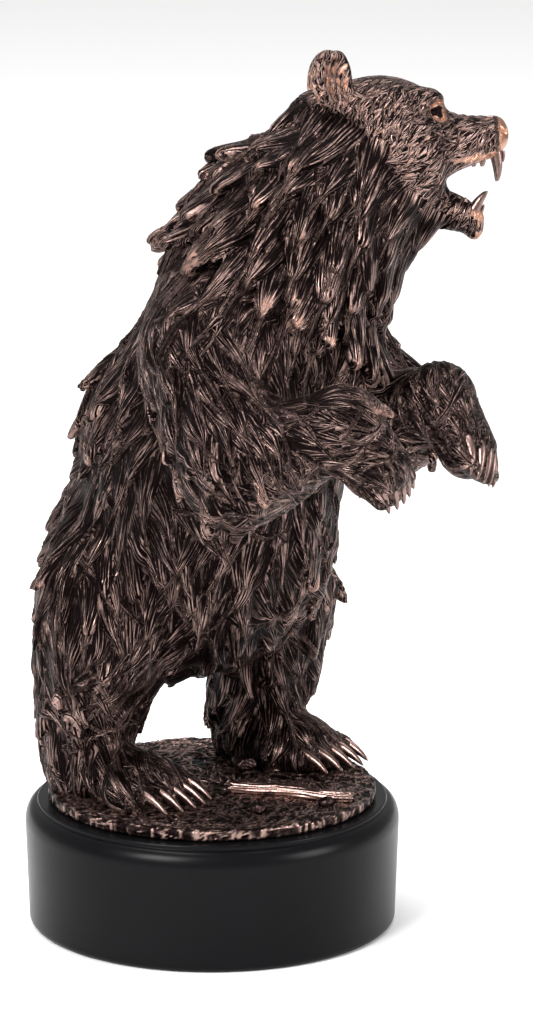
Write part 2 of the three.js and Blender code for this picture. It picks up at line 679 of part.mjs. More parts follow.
// Rough stones, squashed and sunk into the ground
function stone(place, diameter) {
  const geometry = new THREE.IcosahedronGeometry(diameter / 2, 1);
  const positions = geometry.getAttribute("position");
  const point = new THREE.Vector3();
  for (let i = 0; i < positions.count; i++) {
    point.fromBufferAttribute(positions, i);
    const bump = 1 + 0.13 * Math.sin(1.9 * point.x + 2.3) * Math.cos(1.7 * point.y + point.z);
    positions.setXYZ(i, point.x * bump, point.y * bump, point.z * bump * 0.8);
  }
  return geometry.translate(place.x, place.y, groundTop + diameter * 0.2);
}

function bearSkin() {
  const reach = new THREE.Box3(at(-26, -46, -3), at(34, 34, 104));
  const clay = new Clay(reach, SKIN_CELL);
  shapeTorso(clay);
  shapeNeck(clay);
  legs.forEach((leg) => shapeLeg(clay, leg));
  arms.forEach((arm) => shapeArm(clay, arm));
  shapeHead(clay);
  shapeCoat(clay);
  shapeMane(clay);
  [-1, 1].forEach((side) => shapeEar(clay, side));
  flattenBelow(clay, groundTop - GROUND_THICKNESS * 0.7);
  unpinch(clay);
  return geometryOf(thinOut(skinOf(clay), SKIN_TRIANGLES));
}

// Nothing of the figure reaches below the inside of the ground
function flattenBelow(clay, height) {
  for (let n = 0; n < clay.values.length; n++) {
    const z = clay.origin.z + Math.floor(n / clay.stepZ) * clay.cell;
    clay.values[n] = Math.max(clay.values[n], height - z);
  }
}

function bear() {
  const parts = [
    bearSkin(),
    ground(),
    stick(),
    stone(at(7.4, 0.6, 0), STONE_DIAMETER),
    stone(at(-6.2, -13.3, 0), STONE_DIAMETER * 0.55),
    stone(at(1.6, -18, 0), STONE_DIAMETER * 0.6),
    ...legs.flatMap(footClaws),
    ...arms.flatMap(pawClaws),
    ...teeth(),
  ];
  const material = new THREE.MeshStandardMaterial({ color: 0x5a3a2c, roughness: 0.42, metalness: 0.75 });
  const mesh = new THREE.Mesh(joined(parts), material);
  mesh.name = "bear";
  return mesh;
}

// The plinth's outline from the middle of its underside out, up and back to the axis
function plinthProfile() {
  const foot = PLINTH_FOOT_DIAMETER / 2;
  const widest = PLINTH_DIAMETER / 2;
  const stepRadius = widest - PLINTH_SHOULDER_INSET;
  const points = [[0, 0]];
  for (const turn of quarter(2))
    points.push([
      foot - PLINTH_FOOT_ROUNDING * (1 - Math.sin(turn)),
      PLINTH_FOOT_ROUNDING * (1 - Math.cos(turn)),
    ]);
  for (const turn of quarter(3))
    points.push([
      widest - PLINTH_SHOULDER_INSET * (1 - Math.cos(turn)),
      PLINTH_SIDE_HEIGHT + PLINTH_SHOULDER_RISE * Math.sin(turn),
    ]);
  for (const turn of quarter(2))
    points.push([
      stepRadius - PLINTH_STEP_ROUNDING * (1 - Math.cos(turn)),
      plinthTop - PLINTH_STEP_ROUNDING * (1 - Math.sin(turn)),
    ]);
  points.push([0, plinthTop]);
  return points.map(([r, z]) => new THREE.Vector2(r, z));
}

// Angles of a quarter turn in equal steps, both ends included
function quarter(steps) {
  return Array.from({ length: steps + 1 }, (_, i) => (i / steps) * (Math.PI / 2));
}

function plinth() {
  const geometry = new THREE.LatheGeometry(plinthProfile(), 60).rotateX(Math.PI / 2);
  const material = new THREE.MeshStandardMaterial({ color: 0x0c0c0e, roughness: 0.38, metalness: 0 });
  const mesh = new THREE.Mesh(geometry, material);
  mesh.name = "plinth";
  return mesh;
}

const statue = new THREE.Group();
statue.add(plinth(), bear());

export default statue;
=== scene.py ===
"""Looks of a cast bear on a turned plinth, laid out as an add-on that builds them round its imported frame."""

import math

import bpy
import numpy as np
from mathutils import Matrix, Vector


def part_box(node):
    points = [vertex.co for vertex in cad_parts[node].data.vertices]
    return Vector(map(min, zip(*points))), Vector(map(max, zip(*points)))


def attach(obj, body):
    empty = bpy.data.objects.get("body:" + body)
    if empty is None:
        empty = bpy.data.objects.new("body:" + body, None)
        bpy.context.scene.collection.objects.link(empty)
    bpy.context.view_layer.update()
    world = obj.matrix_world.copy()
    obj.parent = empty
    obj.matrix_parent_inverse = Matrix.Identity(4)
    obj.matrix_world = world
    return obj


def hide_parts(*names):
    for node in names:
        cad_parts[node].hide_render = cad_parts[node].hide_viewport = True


bl_info = {
    "name": "Cast Bear Statue",
    "version": (1, 0, 0),
    "blender": (4, 5, 0),
    "location": "3D View > Sidebar > Statue",
    "description": "Builds a cast bear with carved fur on a lacquered plinth",
    "category": "Object",
}

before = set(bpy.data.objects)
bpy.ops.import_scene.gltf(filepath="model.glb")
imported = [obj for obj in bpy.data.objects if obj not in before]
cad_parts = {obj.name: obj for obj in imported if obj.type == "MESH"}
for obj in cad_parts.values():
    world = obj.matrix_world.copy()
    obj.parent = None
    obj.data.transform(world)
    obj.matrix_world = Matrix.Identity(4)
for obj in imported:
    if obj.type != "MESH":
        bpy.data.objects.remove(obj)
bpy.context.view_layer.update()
BEAR_BOX = np.array([list(corner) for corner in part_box("bear")])
PLINTH_BOX = np.array([list(corner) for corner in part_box("plinth")])

# Sizes of the casting, in metres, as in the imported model
FIGURE_HEIGHT = 0.258
GROUND_RADIUS = 0.0556
GROUND_THICKNESS = 0.0038
GROUND_EDGE = 0.0013
GROUND_TOP = BEAR_BOX[0][2] + GROUND_THICKNESS
STICK_LENGTH = 0.042
STICK_RADIUS = 0.0026
STONE_RADIUS = 0.0045

# Places on the bear are per cent of its height, from the middle of the ground's face
SHARE = FIGURE_HEIGHT / 100
WORLD_AXES = np.eye(3)
TOES = np.array([-2, -1, 0, 1, 2])
TOE_SET_BACK = 0.28
TOE_FLARE = 1.25
FINGER_SPREAD = 1.35
FINGER_SET_BACK = 0.12
KNUCKLE_LENGTH = 1.6
FINGER_LENGTH = 2.2

# Locks of fur
LOCK_FLATNESS = 1.9
LOCK_DISTANCE_SCALE = 0.65
LOCK_DEPTH = 0.4
LOCK_TAPER = 0.34
LOCK_WANDER = 0.13
LOCK_VARIATION = 0.18
COAT_SOFTNESS = 0.5
MANE_SOFTNESS = 0.35

# Grids of distances: widths of cells, and how the stretches of skin meet
FORM_MARGIN = 2.0
FAR = 9.0
FINE_CELL = 0.362
FACE_CELL = 0.21
HEAD_REACH = 15
SPLIT_HEIGHT = 42.0
SEAM = 1.2
SINK = 0.35
FILLED = -0.02
RAY_STEP = 0.3
MOST_RAY_STEPS = 220
CREST_REACH = 1.4
HOLLOW_REACH = 1.8


def unit(vector):
    """A vector of length one along the given one; rows of an array are treated one by one."""
    vector = np.asarray(vector, float)
    return vector / np.maximum(np.linalg.norm(vector, axis=-1, keepdims=True), 1e-12)


def axes_along(forward, up=(0, 0, 1)):
    """Side, forward and up of a form that looks along forward."""
    ahead = unit(forward)
    side = unit(np.cross(up, ahead))
    return np.array([side, ahead, np.cross(ahead, side)])


class RoundCone:
    """A tapered limb with round ends: the distance to the cone that is tangent to two spheres."""

    def __init__(self, start, start_radius, end, end_radius):
        self.start = np.asarray(start, float)
        self.end = np.asarray(end, float)
        self.radii = (start_radius, end_radius)
        self.low = np.minimum(self.start - start_radius, self.end - end_radius)
        self.high = np.maximum(self.start + start_radius, self.end + end_radius)

    def distance(self, x, y, z):
        """Signed distance, negative inside."""
        bx, by, bz = self.end - self.start
        px, py, pz = x - self.start[0], y - self.start[1], z - self.start[2]
        ra, rb = self.radii
        length2 = bx * bx + by * by + bz * bz
        taper = ra - rb
        slant2 = length2 - taper * taper
        along = px * bx + py * by + pz * bz
        past = along - length2
        off2 = (px * length2 - bx * along) ** 2 + (py * length2 - by * along) ** 2
        off2 = off2 + (pz * length2 - bz * along) ** 2
        along2 = along * along * length2
        past2 = past * past * length2
        bound = np.sign(taper) * taper * taper * off2
        side = (np.sqrt(off2 * slant2 / length2) + along * taper) / length2 - ra
        at_start = np.sqrt(off2 + along2) / length2 - ra
        at_end = np.sqrt(off2 + past2) / length2 - rb
        side = np.where(np.sign(along) * slant2 * along2 < bound, at_start, side)
        return np.where(np.sign(past) * slant2 * past2 > bound, at_end, side)


class Ellipsoid:
    """An ellipsoid along three axes, by the usual first-order distance."""

    def __init__(self, centre, radii, axes=WORLD_AXES):
        self.centre = np.asarray(centre, float)
        self.radii = np.asarray(radii, float)
        self.axes = np.asarray(axes, float)
        self.low = self.centre - self.radii.max()
        self.high = self.centre + self.radii.max()

    def distance(self, x, y, z):
        """Signed distance, negative inside."""
        px, py, pz = x - self.centre[0], y - self.centre[1], z - self.centre[2]
        inner, slope = 0, 0
        for axis, radius in zip(self.axes, self.radii):
            part = (px * axis[0] + py * axis[1] + pz * axis[2]) / radius
            inner = inner + part * part
            slope = slope + (part / radius) ** 2
        inner = np.sqrt(inner)
        return inner * (inner - 1) / np.maximum(np.sqrt(slope), 1e-6)


class Lock:
    """A lock of fur: a tapered round cone, pressed flat against the skin that it grows from."""

    def __init__(self, root, root_radius, tip, tip_radius, out):
        self.root, self.tip, self.out, self.radius = root, tip, out, root_radius
        length = np.linalg.norm(tip - root)
        along = unit(tip - root)
        across = unit(np.cross(along, out))
        self.axes = np.array([across, along, np.cross(across, along) * LOCK_FLATNESS])
        self.cone = RoundCone((0, 0, 0), root_radius, (0, length, 0), tip_radius)
        self.low = np.minimum(root, tip) - root_radius
        self.high = np.maximum(root, tip) + root_radius

    def distance(self, x, y, z):
        """Signed distance, negative inside, a little short across the flat."""
        px, py, pz = x - self.root[0], y - self.root[1], z - self.root[2]
        place = [px * axis[0] + py * axis[1] + pz * axis[2] for axis in self.axes]
        return self.cone.distance(*place) * LOCK_DISTANCE_SCALE


def soft_min(a, b, k):
    """The lesser of two distances, rounded where they are within k of each other."""
    if k <= 0:
        return np.minimum(a, b)
    return np.minimum(a, b) - np.maximum(k - np.abs(a - b), 0) ** 2 / (4 * k)


class Clay:
    """A grid of distances whose middle and cells change with height, so that it follows the bear."""

    def __init__(self, low, high, side, heights, middles, cells):
        """side is the number of nodes each way; middles and cells are given at the heights."""
        self.heights, self.middles, self.cells = heights, np.array(middles, float), cells
        levels = [low]
        while levels[-1] < high:
            levels.append(levels[-1] + float(self.cell(levels[-1])))
        self.levels = np.array(levels)
        self.side = side
        self.values = np.full((side, side, len(levels)), FAR, np.float32)
        self.steps = []

    def cell(self, z):
        """Width of a cell at a height."""
        return np.interp(z, self.heights, self.cells)

    def centre(self, z):
        """Middle of the grid at a height, following the bear's lean."""
        return tuple(np.interp(z, self.heights, column) for column in self.middles.T)

    def place(self, i, j, k):
        """Place of grid coordinates, which may be fractions."""
        z = np.interp(k, np.arange(len(self.levels)), self.levels)
        cx, cy = self.centre(z)
        cell = self.cell(z)
        return cx + (i - self.side / 2) * cell, cy + (j - self.side / 2) * cell, z

    def index(self, points):
        """Grid coordinates of points."""
        z = points[:, 2]
        cx, cy = self.centre(z)
        cell = self.cell(z)
        i = (points[:, 0] - cx) / cell + self.side / 2
        j = (points[:, 1] - cy) / cell + self.side / 2
        return np.stack([i, j, np.interp(z, self.levels, np.arange(len(self.levels)))], 1)

    def window(self, form, margin):
        """Slices of the grid that hold a form and a margin, and the places of their nodes."""
        low, high = form.low - margin, form.high + margin
        k0, k1 = np.clip(np.searchsorted(self.levels, [low[2], high[2]]), 0, len(self.levels) - 1)
        k = np.arange(max(k0 - 1, 0), k1 + 1)
        z = self.levels[k]
        cx, cy = self.centre(z)
        cell = self.cell(z)
        half = self.side / 2
        i0 = int(np.clip(((low[0] - cx) / cell + half).min(), 0, self.side - 1))
        i1 = int(np.clip(((high[0] - cx) / cell + half).max() + 2, 1, self.side))
        j0 = int(np.clip(((low[1] - cy) / cell + half).min(), 0, self.side - 1))
        j1 = int(np.clip(((high[1] - cy) / cell + half).max() + 2, 1, self.side))
        x = cx + (np.arange(i0, i1)[:, None, None] - half) * cell
        y = cy + (np.arange(j0, j1)[None, :, None] - half) * cell
        where = (slice(i0, i1), slice(j0, j1), slice(k[0], k[-1] + 1))
        return where, x.astype(np.float32), y.astype(np.float32), z[None, None, :].astype(np.float32)

    def blend(self, form, softness=3.0):
        """Adds a form, rounded into what is there."""
        self.steps.append(("blend", form, softness))
        where, x, y, z = self.window(form, softness + FORM_MARGIN)
        self.values[where] = soft_min(self.values[where], form.distance(x, y, z), softness)

    def carve(self, form, softness=0.6):
        """Takes a form away, with a rounded rim."""
        self.steps.append(("carve", form, softness))
        where, x, y, z = self.window(form, softness + FORM_MARGIN)
        self.values[where] = -soft_min(-self.values[where], form.distance(x, y, z), softness)

    def repeat(self, steps):
        """Works the forms of another grid into this one."""
        for kind, form, softness in steps:
            if form.high[2] + 4 > self.levels[0] and form.low[2] - 4 < self.levels[-1]:
                getattr(self, kind)(form, softness)

    def limit(self, region):
        """Keeps what lies in a region. Past its edge the skin dives under the neighbour's, and then ends."""
        i, j, k = np.meshgrid(*(np.arange(n) for n in self.values.shape), indexing="ij", sparse=True)
        past = region(*self.place(i, j, k)).astype(np.float32)
        self.values += SINK * np.clip(past, 0, SEAM)
        np.maximum(self.values, past - SEAM, out=self.values)

    def sample(self, points):
        """Distance at points, by linear interpolation."""
        at = self.index(points)
        top = np.array(self.values.shape) - 2
        base = np.clip(np.floor(at).astype(int), 0, top)
        part = np.clip(at - base, 0, 1)
        total = np.zeros(len(points))
        for corner in range(8):
            step = np.array([corner & 1, (corner >> 1) & 1, corner >> 2])
            weight = np.prod(np.where(step, part, 1 - part), 1)
            i, j, k = (base + step).T
            total += weight * self.values[i, j, k]
        return total

    def slope(self, points, reach=0.8):
        """The way the skin faces at points."""
        ahead, behind = ([self.sample(points + way * axis * reach) for axis in WORLD_AXES] for way in (1, -1))
        return unit(np.transpose(ahead) - np.transpose(behind))

    def skin_from(self, start, directions):
        """Where rays from inside leave the form, and the way its skin faces there."""
        ahead = unit(directions)
        points = np.tile(np.asarray(start, float), (len(ahead), 1))
        moving = np.ones(len(ahead), bool)
        for _ in range(MOST_RAY_STEPS):
            moving[moving] = self.sample(points[moving]) < 0
            if not moving.any():
                break
            points[moving] += ahead[moving] * RAY_STEP
        return points, self.slope(points)


def shape_torso(clay):
    """Rump, belly, ribs and chest."""
    clay.blend(Ellipsoid((2.2, 9.6, 27), (15.8, 15.2, 14.6)), 0)
    clay.blend(Ellipsoid((2, 2.8, 34.5), (16.2, 17.6, 16.6)), 5.5)
    clay.blend(Ellipsoid((1.4, 0.4, 47.5), (16.6, 17.4, 15.2)), 5.5)
    clay.blend(Ellipsoid((1.4, -6.5, 60), (15.3, 14.5, 13.8)), 5.5)


NAPE = np.array([(2.3, -8, 68.3), (6.2, -9.8, 75), (12.6, -15.8, 84.2)])


def shape_neck(clay):
    """Neck and throat, from between the shoulders to the back of the skull."""
    clay.blend(RoundCone(NAPE[0], 13.4, NAPE[1], 12.3), 3)
    clay.blend(RoundCone(NAPE[1], 12.2, NAPE[2], 7.6), 2)
    clay.blend(RoundCone((7.9, -12.2, 71.5), 8.7, (13, -17, 79), 6.9), 2)


LEGS = (
    {
        "joints": [(-9.4, 9.6, 26.5), (-10.9, 9.4, 20), (-10.7, 11.6, 12), (-10.9, 12.7, 4.2)],
        "girths": [9.1, 8.4, 6.6, 5.5],
        "foot": [(-11.6, 12, 2), (-11.8, 1.4, 2), (-11.6, -2.4, 1.4)],
        "spread": 1.7,
    },
    {
        "joints": [(14.2, 2, 22.5), (14.8, 3.2, 16), (14, 4, 8.6), (14.6, 4.4, 3.2)],
        "girths": [8.8, 7.2, 5.8, 5.5],
        "foot": [(15, 5, 2), (14.8, -2.9, 1.9), (15.2, -7.2, 1.6)],
        "spread": 1.6,
    },
)


def toe_place(base, toe, spread):
    """A toe's place beside a middle one: the outer toes are set back."""
    return np.asarray(base, float) + (toe * spread, TOE_SET_BACK * toe * toe, 0)


def shape_leg(clay, leg):
    """Thigh, shin, ankle and a flat foot with five toes."""
    joints, girths = leg["joints"], leg["girths"]
    for n, softness in ((0, 3), (1, 2.3), (2, 2.3)):
        clay.blend(RoundCone(joints[n], girths[n], joints[n + 1], girths[n + 1]), softness)
    heel, ball, front = leg["foot"]
    clay.blend(RoundCone(heel, 4.6, ball, 4.4), 2)
    for toe in TOES:
        root = toe_place(ball, toe, leg["spread"])
        clay.blend(RoundCone(root, 2.6, toe_place(front, toe, leg["spread"] * TOE_FLARE), 1.7), 0.9)


ARMS = (
    {
        "joints": np.array([(-11.7, -9.4, 61.8), (-15, -17, 48), (-11.4, -31, 55.2), (-8.9, -34.6, 49.8)]),
        "girths": [8.6, 6.8, 4.7, 4.2],
    },
    {
        "joints": np.array([(12.6, -5.4, 61), (15.6, -16.4, 47.6), (12, -28.1, 54.1), (9.1, -35, 48.8)]),
        "girths": [8, 6, 4.2, 3.7],
    },
)


def finger_place(arm, toe, past):
    """A finger's place across the paw, and past the knuckles along the way that the paw hangs."""
    wrist, knuckles = arm["joints"][2:]
    hang = unit(knuckles - wrist)
    across = axes_along(hang, (0, 1, 0))[0]
    along = KNUCKLE_LENGTH + past - FINGER_SET_BACK * toe * toe
    return knuckles + hang * along + across * toe * FINGER_SPREAD


def shape_arm(clay, arm):
    """Upper arm, forearm and a hanging paw with five fingers."""
    joints, girths = arm["joints"], arm["girths"]
    for n, softness in ((0, 5), (1, 2.6), (2, 1.6)):
        clay.blend(RoundCone(joints[n], girths[n], joints[n + 1], girths[n + 1]), softness)
    for toe in TOES:
        clay.blend(RoundCone(finger_place(arm, toe, 0), 1.5, finger_place(arm, toe, FINGER_LENGTH), 1.2), 0.6)


HEAD_TURN = math.radians(42)
HEAD_PITCH = math.radians(2)
HEAD_LEAN = math.radians(-12)
GAZE = unit((math.sin(HEAD_TURN), -math.cos(HEAD_TURN), math.tan(HEAD_PITCH)))


def turned(vector, axis, angle):
    """A vector turned about an axis by an angle."""
    vector, axis = np.asarray(vector, float), np.asarray(axis, float)
    along = axis * (vector @ axis)
    return along + (vector - along) * math.cos(angle) + np.cross(axis, vector) * math.sin(angle)


CROWN = turned((0, 0, 1), GAZE, HEAD_LEAN)
HEAD_AXES = axes_along(GAZE, CROWN)
HEAD_CENTRE = np.array([16.4, -18, 86.2])
EYE = (3.1, 4.4, 2.9)
EAR = (5.6, -8.7, 8.2)


def on_head(side, ahead, up):
    """A place given along the head's own side, forward and up."""
    return HEAD_CENTRE + np.array([side, ahead, up]) @ HEAD_AXES


def knob(side, ahead, up, *radii):
    """An ellipsoid on the head, along its own axes."""
    return Ellipsoid(on_head(side, ahead, up), radii, HEAD_AXES)


def bar(start, start_radius, end, end_radius):
    """A round cone between two places on the head."""
    return RoundCone(on_head(*start), start_radius, on_head(*end), end_radius)


def shape_head(clay):
    """Skull, cheeks, brows, open jaws, lips, nose and eye sockets."""
    clay.blend(knob(0, -2.9, 0.5, 7.6, 9.2, 7.5), 2.3)
    for side in (-1, 1):
        clay.blend(knob(side * 3.6, -0.7, -3.4, 4.7, 6.6, 7), 1.8)
        clay.blend(knob(side * 2.6, 3.6, 4.3, 2.1, 2.1, 1.7), 1.4)
    clay.blend(knob(0, -10.5, 2, 5.5, 4, 4.5), 2)
    clay.blend(bar((0, 4.2, -1.1), 4.1, (0, 11.2, -0.4), 2.5), 2)
    for side in (-1, 1):
        clay.blend(bar((side * 2.6, 5.6, -3), 2.1, (side * 1.5, 11.1, -1.4), 1.8), 1.1)
    clay.blend(knob(0, 12.4, -0.1, 1.9, 1.4, 2.2), 0.8)
    clay.blend(bar((0, 2.4, -7.8), 3.6, (0, 8.2, -10.7), 2), 1.4)
    clay.blend(knob(0, 9, -11.8, 1.6, 1.2, 1.8), 0.9)
    for side in (-1, 1):
        clay.carve(knob(side * 3.5, 4.9, 3, 1.4, 1.2, 1.1), 1)
        clay.blend(knob(side * EYE[0], *EYE[1:], 0.9, 0.9, 0.9), 0.2)
    clay.carve(knob(0, 8.4, -6.4, 2.2, 3.4, 2.3), 0.8)


def refine_face(clay):
    """Nostrils, lid rims, the line under the nose, gums and tongue: too fine for the solid."""
    for side in (-1, 1):
        clay.carve(knob(side * 0.95, 14, -0.1, 0.5, 0.8, 0.5), 0.2)
        clay.carve(bar((side * 1.3, 13.5, -0.3), 0.32, (side * 1.9, 12.6, 0.5), 0.18), 0.15)
        clay.blend(bar((side * 3.9, 4.1, 3.7), 0.34, (side * 3, 5.3, 3.6), 0.3), 0.3)
        clay.blend(bar((side * 3.9, 4.4, 2.2), 0.3, (side * 3.1, 5.2, 2.3), 0.26), 0.3)
        clay.blend(bar((side * 1.3, 6.8, -9), 0.5, (side * 1.1, 9.3, -9.9), 0.5), 0.4)
    clay.carve(bar((0, 14.2, -1.3), 0.16, (0, 13.3, -3.1), 0.16), 0.2)
    clay.carve(knob(0, 8, -3.6, 1.1, 3, 0.8), 0.5)
    clay.blend(bar((0, 4, -7.4), 1.2, (0, 8, -9), 0.8), 0.5)


def shape_ear(clay, side):
    """A round ear, cupped towards the front."""
    out = unit(HEAD_AXES[1] * 0.6 + HEAD_AXES[0] * side * 0.8)
    ear = axes_along(out, CROWN)
    centre = on_head(side * 5.6, -8.7, 7.6)
    clay.blend(Ellipsoid(centre, (3.1, 1.6, 4.2), ear), 1)
    clay.carve(Ellipsoid(centre + out * 1.5, (2.1, 1.5, 3), ear), 0.4)


def lock_of_fur(point, out, flow, length, width, lift):
    """A lock whose root is buried and whose tip lifts off the skin."""
    down = unit(np.asarray(flow, float) - out * (np.asarray(flow, float) @ out))
    root = point - out * width * LOCK_DEPTH
    return Lock(root, width, point + down * length + out * lift, width * LOCK_TAPER, out)


def ring_locks(clay, start, end, row, rows, per_row, size, flow):
    """A row of locks round an axis, staggered against the row before."""
    start, end = np.asarray(start, float), np.asarray(end, float)
    middle = start + (end - start) * (row + 0.5) / rows
    side, _, up = axes_along(end - start, (0, 1, 0))
    i = np.arange(per_row)
    turn = (i + 0.5 * (row % 2) + LOCK_WANDER * np.sin(7 * i + 3 * row)) / per_row * 2 * np.pi
    points, outs = clay.skin_from(middle, np.outer(np.cos(turn), side) + np.outer(np.sin(turn), up))
    vary = 1 + LOCK_VARIATION * np.sin(5.3 * i + 2.1 * row)
    length, width, lift = size
    return [lock_of_fur(p, n, flow, length * v, width * v, lift) for p, n, v in zip(points, outs, vary)]


def coat_locks(clay):
    """Locks over the trunk, the legs and the arms."""
    down = np.array([0, 0.12, -1])
    locks = []
    for row in range(8):
        locks += ring_locks(clay, (1.8, -4, 60), (2, 8, 22), row, 8, 15, (5, 2.1, 0.3), down)
    for leg in LEGS:
        for row in range(3):
            locks += ring_locks(clay, leg["joints"][1], leg["joints"][3], row, 3, 7, (4.4, 1.9, 0.3), down)
    for arm in ARMS:
        shoulder, elbow, wrist, _ = arm["joints"]
        for row in range(3):
            locks += ring_locks(clay, shoulder, elbow, row, 3, 8, (5, 1.9, 0.25), down)
        locks += ring_locks(clay, elbow, wrist, 0, 2, 7, (4, 1.5, 0.05), unit(wrist - elbow))
        point, out = clay.skin_from(elbow, np.array([(0, 0.4, -1.0)]))
        locks.append(lock_of_fur(point[0], out[0], down, 2.6, 2.2, 0.6))
    return locks


def mane_locks(clay):
    """Locks of the neck, longer and further off towards the shoulders, none on the face."""
    locks = []
    for row in range(7):
        down = row / 7
        size = (4.4 + 1.6 * down, 2.3 + 0.7 * down, 0.4 + 1.4 * down**2)
        locks += ring_locks(clay, on_head(0, -5, 1), NAPE[0], row, 7, 12 + row, size, MANE_FLOW)
    return [lock for lock in locks if clear_of_face(lock)]


def clear_of_face(lock):
    """Whether a lock lies behind the cheeks, where the hair is long."""
    _, ahead, above = HEAD_AXES @ ((lock.low + lock.high) / 2 - HEAD_CENTRE)
    return ahead + above * 0.66 < -4.4 or (above < -11 and ahead < 1)


def fill_pinches(values):
    """Fills grid nodes in wherever the skin would touch itself at an edge or a corner of the grid."""
    shape = values.shape
    flat = values.reshape(-1)
    steps = np.array([shape[1] * shape[2], shape[2], 1])
    pairs = []
    for axis in range(3):
        p, q, r = steps[axis], steps[(axis + 1) % 3], steps[(axis + 2) % 3]
        pairs.append(([0, p + q], [p, q]))
        pairs.append(([p, q], [0, p + q]))
        pairs.append(([p, q + r], [0, q, r, p + q, p + r, p + q + r]))
        pairs.append(([0, p + q + r], [p, q, r, p + q, p + r, q + r]))
    near = np.flatnonzero(np.abs(flat) < 1.5)
    last = flat.size - steps.sum() - 1
    near = near[near <= last]
    filled = 1
    while filled:
        filled = 0
        for pair, others in pairs:
            for inside in (True, False):
                match = np.all([(flat[near + n] < 0) == inside for n in pair], 0)
                match &= np.all([(flat[near + n] < 0) != inside for n in others], 0)
                found = near[match]
                if not len(found):
                    continue
                outer = found[:, None] + np.array(others if inside else pair)
                shallowest = outer[np.arange(len(found)), np.argmin(flat[outer], 1)]
                flat[shallowest] = FILLED
                filled += len(found)


def skin_of(clay):
    """The skin where the distance is nil: a vertex in each cut cell, a quad round each cut edge."""
    values = clay.values
    inside = values < 0
    ni, nj, nk = values.shape
    strides = np.array([nj * nk, nk, 1])
    corner = [(c & 1, (c >> 1) & 1, c >> 2) for c in range(8)]
    count = np.zeros((ni - 1, nj - 1, nk - 1), np.int8)
    for a, b, c in corner:
        count += inside[a : ni - 1 + a, b : nj - 1 + b, c : nk - 1 + c]
    cells = np.argwhere((count > 0) & (count < 8))
    flat = values.reshape(-1)
    base = cells @ strides
    place = np.zeros((len(cells), 3))
    cuts = np.zeros(len(cells))
    for n, start in enumerate(corner):
        for axis in range(3):
            if start[axis]:
                continue
            va = flat[base + np.dot(start, strides)]
            vb = flat[base + np.dot(start, strides) + strides[axis]]
            cut = (va < 0) != (vb < 0)
            share = np.where(cut, va / np.where(cut, va - vb, 1), 0)
            place += cut[:, None] * np.array(start)
            place[:, axis] += share
            cuts += cut
    place = place / cuts[:, None] + cells
    vertices = np.stack(clay.place(*place.T), 1)
    number = np.full(values.size, -1, np.int64)
    number[base] = np.arange(len(cells))
    quads = []
    for axis in range(3):
        step, p, q = strides[axis], strides[(axis + 1) % 3], strides[(axis + 2) % 3]
        here = inside[tuple(slice(1, -1) for _ in range(3))]
        ahead = inside[tuple(slice(2, None) if n == axis else slice(1, -1) for n in range(3))]
        nodes = (np.argwhere(here != ahead) + 1) @ strides
        ring = np.stack([number[nodes - p - q], number[nodes - q], number[nodes], number[nodes - p]], 1)
        flip = ~inside.reshape(-1)[nodes]
        ring[flip] = ring[flip][:, ::-1]
        quads.append(ring)
    return vertices, np.concatenate(quads)


def triangle_normals(vertices, quads):
    """The way the skin faces at each vertex: the mean of its faces, weighted by their areas."""
    a, b, c, d = (vertices[quads[:, n]] for n in range(4))
    face = np.cross(c - a, d - b)
    total = np.zeros((len(vertices), 3))
    for axis in range(3):
        weights = np.repeat(face[:, axis], 4)
        total[:, axis] = np.bincount(quads.reshape(-1), weights, len(vertices))
    return unit(total)


def ramp(low, high, value):
    """Nought below low, one above high, and smooth in between."""
    share = np.clip((value - low) / (high - low), 0, 1)
    return share * share * (3 - 2 * share)


# Length, half width and height of a lock of each kind of hair, and the wisps' sizes as shares of a lock's
LONG_HAIR = (7, 1.8, 0.62)
MIDDLING_HAIR = (5, 1.3, 0.4)
SHORT_HAIR = (2.8, 0.85, 0.16)
NECK_HAIR = (4.4, 1.25, 0.3)
THROAT_HAIR = (4.4, 1.25, 0.4)
FACE_HAIR = (1.8, 0.55, 0.07)
EAR_HAIR = (1.6, 0.45, 0.08)
WISP = np.array([0.75, 0.36, 0.22])
MANE_TUFT_HEIGHT = 0.38
MANE_FLOW = unit(NAPE[0] - NAPE[2]) + (0, 0, -0.5)


def hair_guides():
    """Where hair of each kind grows: start, end, reach, way, and the sizes of its locks."""
    guides = [
        ((1.8, -6, 62), (2, 8, 24), 15, (0.06, 0.16, -1), LONG_HAIR),
        (NAPE[0], NAPE[2], 12, MANE_FLOW, NECK_HAIR),
        ((8.4, -12.8, 70), (13, -17, 79), 8, (0, 0.15, -1), THROAT_HAIR),
    ]
    for arm in ARMS:
        shoulder, elbow, wrist, knuckles = arm["joints"]
        guides.append((shoulder, elbow, 8, unit(elbow - shoulder), LONG_HAIR))
        guides.append((elbow, wrist, 6, unit(wrist - elbow) + (0, 0, -0.35), MIDDLING_HAIR))
        guides.append((wrist, knuckles + (knuckles - wrist), 5, unit(knuckles - wrist), SHORT_HAIR))
    for leg in LEGS:
        guides.append((leg["joints"][0], leg["joints"][3], 8, (0.03, 0.1, -1), LONG_HAIR))
        heel, _, front = leg["foot"]
        guides.append((heel, front, 4.6, (0, -1, -0.25), SHORT_HAIR))
    guides.append((on_head(0, -2, 0), on_head(0, 12, -0.5), 7.5, None, FACE_HAIR))
    guides.append((on_head(0, 3, -8), on_head(0, 9, -11), 3.5, None, FACE_HAIR))
    for side in (-1, 1):
        low, high = (on_head(side * EAR[0], EAR[1], up) for up in (5, 11))
        guides.append((low, high, 3.6, -CROWN, EAR_HAIR))
    return guides


